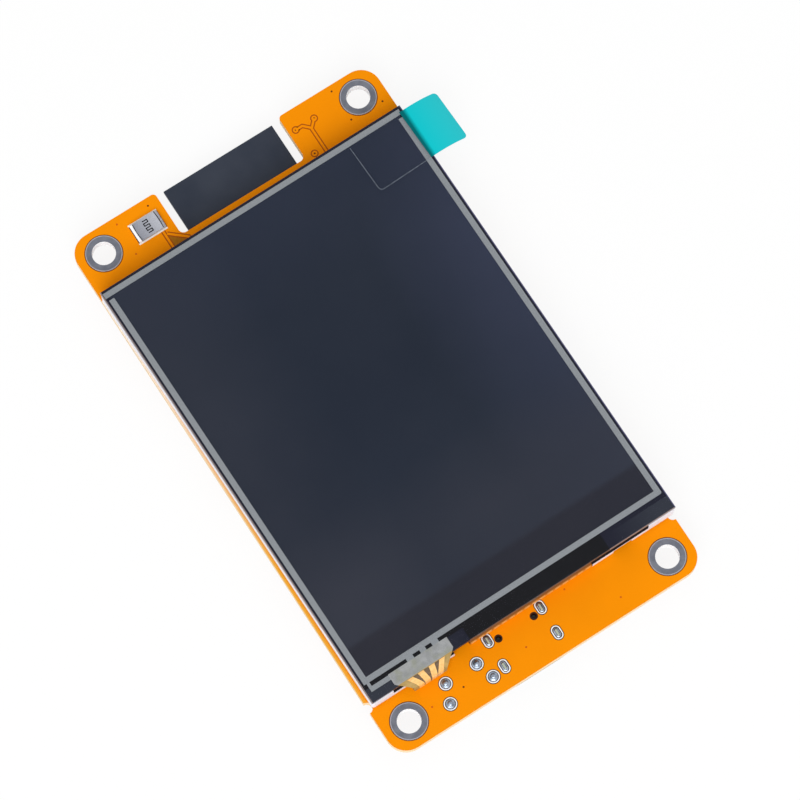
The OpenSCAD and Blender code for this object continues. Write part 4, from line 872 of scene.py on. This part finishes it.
class TFT_OT_paint_display(bpy.types.Operator):
    """Gives the display's layers their finishes"""

    bl_idname = "object.tft_paint_display"
    bl_label = "Paint display"

    def execute(self, context):
        look = context.scene.tft_display
        paint(screen_glass(look), "touch_glass")
        for name, base, roughness in (
            ("touch_film", look.ledge, 0.25),
            ("protective_film", look.ledge, 0.2),
            ("tab_tape", look.sheen, 0.2),
        ):
            paint(clear_film(name.replace("_", " "), base, look.film_alpha, roughness), name)
            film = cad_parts[name]
            film.visible_shadow = False
            film.visible_diffuse = False
            film.visible_glossy = False
        paint(silver_ink(look), "touch_silver")
        paint(display_flex_cover(look), "display_flex")
        paint(touch_flex_cover(look), "touch_flex")
        paint(teal_print(look), "pull_tab")
        paint(white_frame(look), "backlight_frame")
        paint(moulded("white films", look.white, 0.5), "reflector_film", "diffuser_films")
        paint(moulded("LED bodies", look.led, 0.4), "backlight_leds", "led_strip")
        paint(moulded("black tape", look.tape, 0.6), "ledge_tape", "seal_tape", "driver_chip")
        paint(moulded("display glass", look.cell, 0.2), "tft_glass", "colour_filter_glass")
        paint(moulded("polariser film", darker(look.screen, 0.5), 0.35), "rear_polariser", "front_polariser")
        paint(moulded("light guide", look.guide, 0.2), "light_guide")
        paint(moulded("foam tape", context.scene.tft_parts.foam, 0.9, 0.3), "mounting_tape")
        return {"FINISHED"}


class TFT_OT_paint_parts(bpy.types.Operator):
    """Gives the parts on the back their finishes"""

    bl_idname = "object.tft_paint_parts"
    bl_label = "Paint parts on the back"

    def execute(self, context):
        look = context.scene.tft_parts
        board = context.scene.tft_board
        paint(moulded("ivory moulding", look.ivory, 0.45),
              "power_socket", "sensor_socket", "io_socket", "speaker_socket")
        paint(moulded("black moulding", look.black, 0.5), "wide_port_insert", "small_port_insert",
              "card_slot_base", "boot_switch_base", "reset_switch_base", "boot_button", "reset_button")
        paint(moulded("chip moulding", look.chip, 0.6, 0.2),
              "logic_chips", "regulator", "transistors", "resistors")
        paint(moulded("fired ceramic", look.tan, 0.55, 0.2), "capacitors")
        paint(moulded("LED cup", look.cup, 0.35), "status_led")
        paint(metal_sheet("port steel", board.steel, 0.28), "wide_port_shell", "small_port_shell",
              "card_slot_cover", "boot_switch_cover", "reset_switch_cover")
        paint(metal_sheet("shield can", lighter(board.steel, 0.1), 0.36, 0.4), "radio_shield")
        paint(metal_sheet("tinned leads", board.steel, 0.3, 0.15),
              "socket_pins", "chip_leads", "passive_ends")
        paint(metal_sheet("gold contacts", board.gold, 0.25, 0.15),
              "wide_port_contacts", "small_port_contacts", "card_slot_contacts", "antenna_trace")
        return {"FINISHED"}


class TFT_OT_lay_tracks(bpy.types.Operator):
    """Lays the copper tracks and their pads on the front face, each between bare lines"""

    bl_idname = "mesh.tft_lay_tracks"
    bl_label = "Lay tracks"

    def execute(self, context):
        look = context.scene.tft_board
        width, pad_r, bare = look.track_w / MM, look.pad_d / MM / 2, look.groove_w / MM
        grooves = front_copper("track_grooves", width + 2 * bare, pad_r + bare, GROOVE_T)
        finish_piece(grooves, plain_ink("bare lines", look.groove))
        plate(flat(BARE_PATCH), GROOVE_T / 2)
        finish_piece(name_active("bare_patch"), plain_ink("bare patch", look.patch))
        tracks = front_copper("front_tracks", width, pad_r, TRACK_T)
        finish_piece(tracks, bpy.data.materials["orange solder mask"])
        return {"FINISHED"}


class TFT_OT_drill_dots(bpy.types.Operator):
    """Adds the small plated-through dots"""

    bl_idname = "mesh.tft_drill_dots"
    bl_label = "Drill dots"

    def execute(self, context):
        look = context.scene.tft_board
        radius = look.dot_d / MM / 2
        dots = copies(disc(radius, DOT_T), flat(FRONT_DOTS + TRACK_PADS), "front_dots")
        finish_piece(dots, plain_ink("dark dots", look.outline))
        faint = copies(disc(radius, DOT_T), flat(FAINT_DOTS), "faint_dots")
        finish_piece(faint, plain_ink("filled dots", look.faint))
        return {"FINISHED"}


class TFT_OT_rim_pads(bpy.types.Operator):
    """Adds the bright rim and the dark outline of each mounting pad"""

    bl_idname = "mesh.tft_rim_pads"
    bl_label = "Rim mounting pads"

    def execute(self, context):
        look = context.scene.tft_board
        _, high = box_mm("plated_holes")
        x, y = high.x - PAD_R, high.y - PAD_R
        places = flat((sx * x, sy * y) for sx in (-1, 1) for sy in (-1, 1))
        rims = copies(ring(*PAD_RIM, high.z + PAD_LIFT), places, "pad_rims")
        finish_piece(rims, plain_ink("pad rims", look.rim, 0.35, 0.8))
        outlines = copies(ring(*PAD_OUTLINE, INK_T), places, "pad_outlines")
        finish_piece(outlines, plain_ink("pad outlines", look.outline))
        return {"FINISHED"}


class TFT_OT_rim_joints(bpy.types.Operator):
    """Adds the soldered joints' bright rims, which are painted highlights, and their dark outlines and
    hollows, which are painted shade
    """

    bl_idname = "mesh.tft_rim_joints"
    bl_label = "Rim soldered joints"

    def execute(self, context):
        look = context.scene.tft_board
        level = box_mm("plated_holes")[1].z
        rims = [
            copies(ring(*ROUND_RIM, level + JOINT_LIFT), flat(ROUND_JOINTS)),
            copies(ring(*OVAL_RIM, level + JOINT_LIFT, OVAL_REACH), flat(OVAL_JOINTS)),
        ]
        # Painted highlight on the joints' shoulders, drawn as bright rims
        tin = plain_ink("bright tin rims", look.bright, 0.35, 0.8)
        finish_piece(join_pieces(rims, "joint_rims"), tin)
        # Painted shade: dark rings round the joints' feet, in their hollows and round the peg holes
        outlines = [
            copies(ring(*ROUND_OUTLINE, OUTLINE_T), flat(ROUND_JOINTS)),
            copies(ring(*OVAL_OUTLINE, OUTLINE_T, OVAL_REACH), flat(OVAL_JOINTS)),
            copies(ring(*ROUND_HOLLOW, level + ROUND_LIFT), flat(ROUND_JOINTS)),
            copies(ring(*OVAL_HOLLOW, level + OVAL_LIFT, OVAL_REACH), flat(OVAL_JOINTS)),
            copies(ring(*PEG_OUTLINE, INK_T), flat(PEG_HOLES)),
        ]
        dark = plain_ink("joint outlines", look.hollow_shade)
        finish_piece(join_pieces(outlines, "joint_outlines"), dark)
        return {"FINISHED"}


class TFT_OT_print_legend(bpy.types.Operator):
    """Prints the white lines above and below the light sensor"""

    bl_idname = "mesh.tft_print_legend"
    bl_label = "Print legend"

    def execute(self, context):
        ink = plain_ink("white legend", context.scene.tft_board.legend, 0.6)
        rows = [flat(((LEGEND_LEFT, y), (LEGEND_RIGHT, y))) for y in LEGEND_ROWS]
        lines = [ridge(row, LEGEND_W, INK_T) for row in rows]
        finish_piece(join_pieces(lines, "legend_lines"), ink)
        return {"FINISHED"}


class TFT_OT_add_sensor_track(bpy.types.Operator):
    """Adds the dark zig-zag track on the light sensor, and the dark lines at its ends"""

    bl_idname = "mesh.tft_add_sensor_track"
    bl_label = "Add sensor track"

    def execute(self, context):
        low, high = box_mm("light_sensor")
        middle, half_w = (low + high) / 2, (high.y - low.y) / 2
        rows, step, half, track_w, track_t = 6, 0.37, 0.36, 0.15, 0.01
        bow_w, bow_t, end_w, end_gap = 0.09, 0.02, 0.12, 0.05
        path = []
        for i in range(rows):
            side = half if i % 2 else -half
            y = middle.y + (i - (rows - 1) / 2) * step
            path += [(middle.x + side, y, high.z), (middle.x - side, y, high.z)]
        lines = [ridge(path, track_w, track_t)]
        for x, bulge in ((low.x, -0.06), (high.x, 0.1)):
            shares = [i / 4 - 1 for i in range(9)]
            bow = [(x + bulge * (1 - s * s), middle.y + s * half_w, high.z - bow_t / 2) for s in shares]
            lines.append(ridge(bow, bow_w, bow_t))
        low, high = box_mm("light_sensor_ends")
        for x in (low.x - end_gap, high.x + end_gap):
            lines.append(ridge(flat(((x, low.y), (x, high.y))), end_w, INK_T))
        ink = plain_ink("sensor track", context.scene.tft_board.zigzag, 0.4)
        finish_piece(join_pieces(lines, "sensor_track"), ink)
        return {"FINISHED"}


class TFT_OT_add_flex_strips(bpy.types.Operator):
    """Adds the copper strips and the dark gaps that fan out over the touch flex"""

    bl_idname = "mesh.tft_add_flex_strips"
    bl_label = "Add flex strips"

    def strip_points(self, edge, neck, radius):
        """Points of one strip in the display's own frame, from the panel's edge round the bend."""
        upper = box_mm("touch_flex")[1].z - BEND_R
        points = []
        for i in range(9):
            angle = math.radians(i * 90 / 8)
            out, up = math.sin(angle), math.cos(angle)
            points.append((edge + (neck - edge) * out, -PANEL_Y - radius * out, upper + radius * up))
        for i in range(4):
            angle = math.radians(i * 20)
            points.append((neck, -PANEL_Y - radius * math.cos(angle), BEND_R - radius * math.sin(angle)))
        return points

    def strips(self, turn, edges, necks, width, lift, name):
        """Strips of one kind, lifted off the flex."""
        across = Matrix.Rotation(turn, 4, "Z") @ Vector((width, 0, 0))
        made = []
        for edge, neck in zip(edges, necks):
            points = self.strip_points(edge, neck, BEND_R + lift)
            path = [on_display(x - width / 2, y, z, turn) for x, y, z in points]
            made.append(ribbon(path, across, STRIP_T))
        return join_pieces(made, name)

    def execute(self, context):
        look = context.scene.tft_display
        copper = self.strips(look.turn, COPPER_EDGE, COPPER_NECK, COPPER_W, COPPER_LIFT, "flex_copper")
        finish_piece(copper, plain_ink("flex copper", look.copper, 0.3, 0.8, 0.4))
        gaps = self.strips(look.turn, GAP_EDGE, GAP_NECK, GAP_W, GAP_LIFT, "flex_gaps")
        finish_piece(gaps, plain_ink("flex gaps", look.gap, 0.35, 0.7))
        return {"FINISHED"}


class TFT_OT_edge_tab_tape(bpy.types.Operator):
    """Adds the pale edge line of the clear tab tape"""

    bl_idname = "mesh.tft_edge_tab_tape"
    bl_label = "Edge tab tape"

    def execute(self, context):
        look = context.scene.tft_display
        lean = Matrix.Rotation(math.radians(TAPE_LEAN), 4, "Z")
        level = box_mm("tab_tape")[1].z - TAPE_SINK
        outline = [(TAPE_LEFT, TAPE_HIGH)]
        for i in range(7):
            angle = math.radians(180 + 15 * i)
            outline.append((TAPE_LEFT + TAPE_R + TAPE_R * math.cos(angle),
                            TAPE_LOW + TAPE_R + TAPE_R * math.sin(angle)))
        outline.append((TAPE_RIGHT, TAPE_LOW))
        spots = [lean @ Vector((x, y, 0)) for x, y in outline]
        path = [on_display(PANEL_X + spot.x, TAPE_Y + spot.y, level, look.turn) for spot in spots]
        line = ridge(path, TAPE_LINE_W, TAPE_LINE_T)
        line.name = "tape_edge"
        finish_piece(line, plain_ink("tape edge", look.tape_edge, 0.4, 0.35))
        return {"FINISHED"}


class TFT_OT_lay_back_tracks(bpy.types.Operator):
    """Lays copper tracks and plated-through dots on the back face"""

    bl_idname = "mesh.tft_lay_back_tracks"
    bl_label = "Lay tracks on the back"

    def execute(self, context):
        look = context.scene.tft_board
        width, bare, dot = look.track_w / MM, look.groove_w / MM, look.dot_d / MM
        back = box_mm("circuit_board")[0].z
        paths = [flat(path, back) for path in back_paths()]
        materials = bpy.data.materials
        for name, wide, drop, finish in (
            ("back_grooves", width + 2 * bare, GROOVE_T, "bare lines"),
            ("back_tracks", width, TRACK_T, "orange solder mask"),
        ):
            lines = [ridge(path, wide, -drop - i * STEP_T / 2) for i, path in enumerate(paths)]
            finish_piece(join_pieces(lines, name), materials[finish])
        ring_t, dot_t = 1.6 * TRACK_T, 2 * TRACK_T
        hole_r, plug_r = dot * 0.35, dot * 0.45
        rings = copies(ring(hole_r, dot, ring_t), flat(BACK_DOTS, back - ring_t), "dot_rings")
        finish_piece(rings, materials["bare lines"])
        dots = copies(disc(plug_r, dot_t), flat(BACK_DOTS, back - dot_t), "back_dots")
        finish_piece(dots, materials["dark dots"])
        return {"FINISHED"}


class TFT_OT_print_back_legend(bpy.types.Operator):
    """Prints white corners round the larger parts on the back"""

    bl_idname = "mesh.tft_print_back_legend"
    bl_label = "Print legend on the back"

    def execute(self, context):
        board_low, board_high = box_mm("circuit_board")
        inner_low = board_low + Vector((CORNER_INSIDE, CORNER_INSIDE, 0))
        inner_high = board_high - Vector((CORNER_INSIDE, CORNER_INSIDE, 0))
        boxes = [(x - w / 2, y - d / 2, x + w / 2, y + d / 2) for x, y, w, d in CHIP_CORNERS]
        for name in CORNERED_PARTS:
            low, high = box_mm(name)
            boxes.append((max(low.x - CORNER_GAP, inner_low.x), max(low.y - CORNER_GAP, inner_low.y),
                          min(high.x + CORNER_GAP, inner_high.x), min(high.y + CORNER_GAP, inner_high.y)))
        lines = []
        for x0, y0, x1, y1 in boxes:
            for x, y, across, along in ((x0, y0, 1, 1), (x1, y0, -1, 1), (x0, y1, 1, -1), (x1, y1, -1, -1)):
                corner = ((x + across * CORNER_L, y), (x, y), (x, y + along * CORNER_L))
                lines.append(ridge(flat(corner, board_low.z), CORNER_W, -2 * INK_T))
        finish_piece(join_pieces(lines, "back_legend"), bpy.data.materials["white legend"])
        return {"FINISHED"}


class TFT_OT_solder_module(bpy.types.Operator):
    """Fills the radio module's edge contacts with solder and lays a pad under each"""

    bl_idname = "mesh.tft_solder_module"
    bl_label = "Solder module"

    def execute(self, context):
        low, high = box_mm("radio_board")
        side_from = low.y + CONTACT_FIRST
        end_from = (low.x + high.x) / 2 - (END_CONTACTS - 1) / 2 * CONTACT_PITCH
        places = [(x, side_from + i * CONTACT_PITCH) for x in (low.x, high.x) for i in range(SIDE_CONTACTS)]
        places += [(end_from + i * CONTACT_PITCH, low.y) for i in range(END_CONTACTS)]
        posts = copies(disc(CONTACT_R, high.z - low.z), flat(places, low.z - CONTACT_LIFT))
        pads = copies(disc(CONTACT_PAD_R, CONTACT_PAD_T), flat(places, high.z - CONTACT_PAD_T))
        contacts = join_pieces([posts, pads], "module_contacts")
        finish_piece(contacts, bpy.data.materials["bright solder"])
        return {"FINISHED"}


class TFT_OT_add_lens(bpy.types.Operator):
    """Adds the clear yellowish lens in the status LED's recess"""

    bl_idname = "mesh.tft_add_lens"
    bl_label = "Add LED lens"

    def execute(self, context):
        low, high = box_mm("status_led")
        lens = disc(LENS_R, LENS_T)
        lens.location = Vector(((low.x + high.x) / 2, (low.y + high.y) / 2, low.z + LENS_FOOT)) * MM
        lens.name = "status_lens"
        finish_piece(lens, plain_ink("LED lens", context.scene.tft_parts.lens, 0.2, 0.9, 0.5))
        return {"FINISHED"}


class TFT_OT_add_snap_domes(bpy.types.Operator):
    """Adds the spring domes under the two switch buttons, in place of the CAD domes, which it hides"""

    bl_idname = "mesh.tft_add_snap_domes"
    bl_label = "Add snap domes"

    def execute(self, context):
        thick = context.scene.tft_parts.dome_t
        for switch in ("boot", "reset"):
            low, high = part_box(f"{switch}_dome")
            middle, height = (low + high) / 2, high.z - low.z
            radius = (high.x - low.x) / 2
            deselect()
            bpy.ops.mesh.primitive_circle_add(vertices=48, radius=radius, fill_type="NGON",
                                              location=(middle.x, middle.y, high.z - thick))
            dome = name_active(f"{switch}_snap_dome")
            bpy.ops.object.mode_set(mode="EDIT")
            bpy.ops.mesh.flip_normals()
            for share in DOME_STEPS:
                bpy.ops.mesh.inset(thickness=0.2 * radius, depth=share * (height - thick))
            bpy.ops.object.mode_set(mode="OBJECT")
            apply_modifier(dome, "SOLIDIFY", thickness=thick, offset=-1)
            bpy.ops.object.shade_smooth_by_angle()
            finish_piece(dome, bpy.data.materials["port steel"])
            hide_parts(f"{switch}_dome")
            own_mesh(dome)
        return {"FINISHED"}


class TFT_OT_set_stage(bpy.types.Operator):
    """Sets the floor, the light and the camera"""

    bl_idname = "scene.tft_set_stage"
    bl_label = "Set stage"

    def execute(self, context):
        look = context.scene.tft_stage
        deselect()
        low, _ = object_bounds()
        bpy.ops.mesh.primitive_plane_add(size=FLOOR_W, location=(0, 0, low.z))
        floor = name_active("floor")
        floor.data.materials.append(pale_floor())
        floor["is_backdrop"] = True

        world = bpy.data.worlds.new("room")
        world.use_nodes = True
        context.scene.world = world
        room = Nodes(world.node_tree)
        light = world.node_tree.nodes["Background"].inputs
        room.feed(light["Color"], WHITE)
        room.feed(light["Strength"], room.span(room.seen(), 0, 1, look.ambient, 1.0))

        deselect()
        bpy.ops.object.light_add(type="AREA", location=look.key_at)
        key = bpy.context.active_object
        key.name = "key light"
        key.data.energy = look.key_power
        key.data.size = look.key_size
        key.rotation_euler = (-key.location).to_track_quat("-Z", "Y").to_euler()

        bpy.ops.object.camera_add(location=look.camera_at, rotation=look.camera_turn)
        camera = bpy.context.active_object
        camera.name = "photo camera"
        camera.data.sensor_width = 36
        camera.data.lens = look.lens
        camera.data.clip_start = 0.01
        camera.data.clip_end = 20
        context.scene.camera = camera
        context.scene.view_settings.view_transform = "Standard"
        return {"FINISHED"}


OPERATORS = (
    TFT_OT_paint_board,
    TFT_OT_paint_display,
    TFT_OT_paint_parts,
    TFT_OT_lay_tracks,
    TFT_OT_drill_dots,
    TFT_OT_rim_pads,
    TFT_OT_rim_joints,
    TFT_OT_print_legend,
    TFT_OT_add_sensor_track,
    TFT_OT_add_flex_strips,
    TFT_OT_edge_tab_tape,
    TFT_OT_lay_back_tracks,
    TFT_OT_print_back_legend,
    TFT_OT_solder_module,
    TFT_OT_add_lens,
    TFT_OT_add_snap_domes,
    TFT_OT_set_stage,
)


class TFT_PT_panel(bpy.types.Panel):
    """Lists the board's looks and the steps that dress it"""

    bl_idname = "TFT_PT_panel"
    bl_label = "Display board"
    bl_space_type = "VIEW_3D"
    bl_region_type = "UI"
    bl_category = "Display board"

    def draw(self, context):
        for group, look in LOOKS.items():
            box = self.layout.box()
            for name in look.__annotations__:
                box.prop(getattr(context.scene, group), name)
        for operator in OPERATORS:
            self.layout.operator(operator.bl_idname)


CLASSES = (*LOOKS.values(), *OPERATORS, TFT_PT_panel)


def register():
    for item in CLASSES:
        bpy.utils.register_class(item)
    for group, look in LOOKS.items():
        setattr(bpy.types.Scene, group, bpy.props.PointerProperty(type=look))


def unregister():
    for group in LOOKS:
        delattr(bpy.types.Scene, group)
    for item in reversed(CLASSES):
        bpy.utils.unregister_class(item)


def main():
    register()
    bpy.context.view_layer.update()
    bpy.ops.object.tft_paint_board()
    bpy.ops.object.tft_paint_display()
    bpy.ops.object.tft_paint_parts()
    bpy.ops.mesh.tft_lay_tracks()
    bpy.ops.mesh.tft_drill_dots()
    bpy.ops.mesh.tft_rim_pads()
    bpy.ops.mesh.tft_rim_joints()
    bpy.ops.mesh.tft_print_legend()
    bpy.ops.mesh.tft_add_sensor_track()
    bpy.ops.mesh.tft_add_flex_strips()
    bpy.ops.mesh.tft_edge_tab_tape()
    bpy.ops.mesh.tft_lay_back_tracks()
    bpy.ops.mesh.tft_print_back_legend()
    bpy.ops.mesh.tft_solder_module()
    bpy.ops.mesh.tft_add_lens()
    bpy.ops.mesh.tft_add_snap_domes()
    bpy.ops.scene.tft_set_stage()


if __name__ == "__main__":
    main()
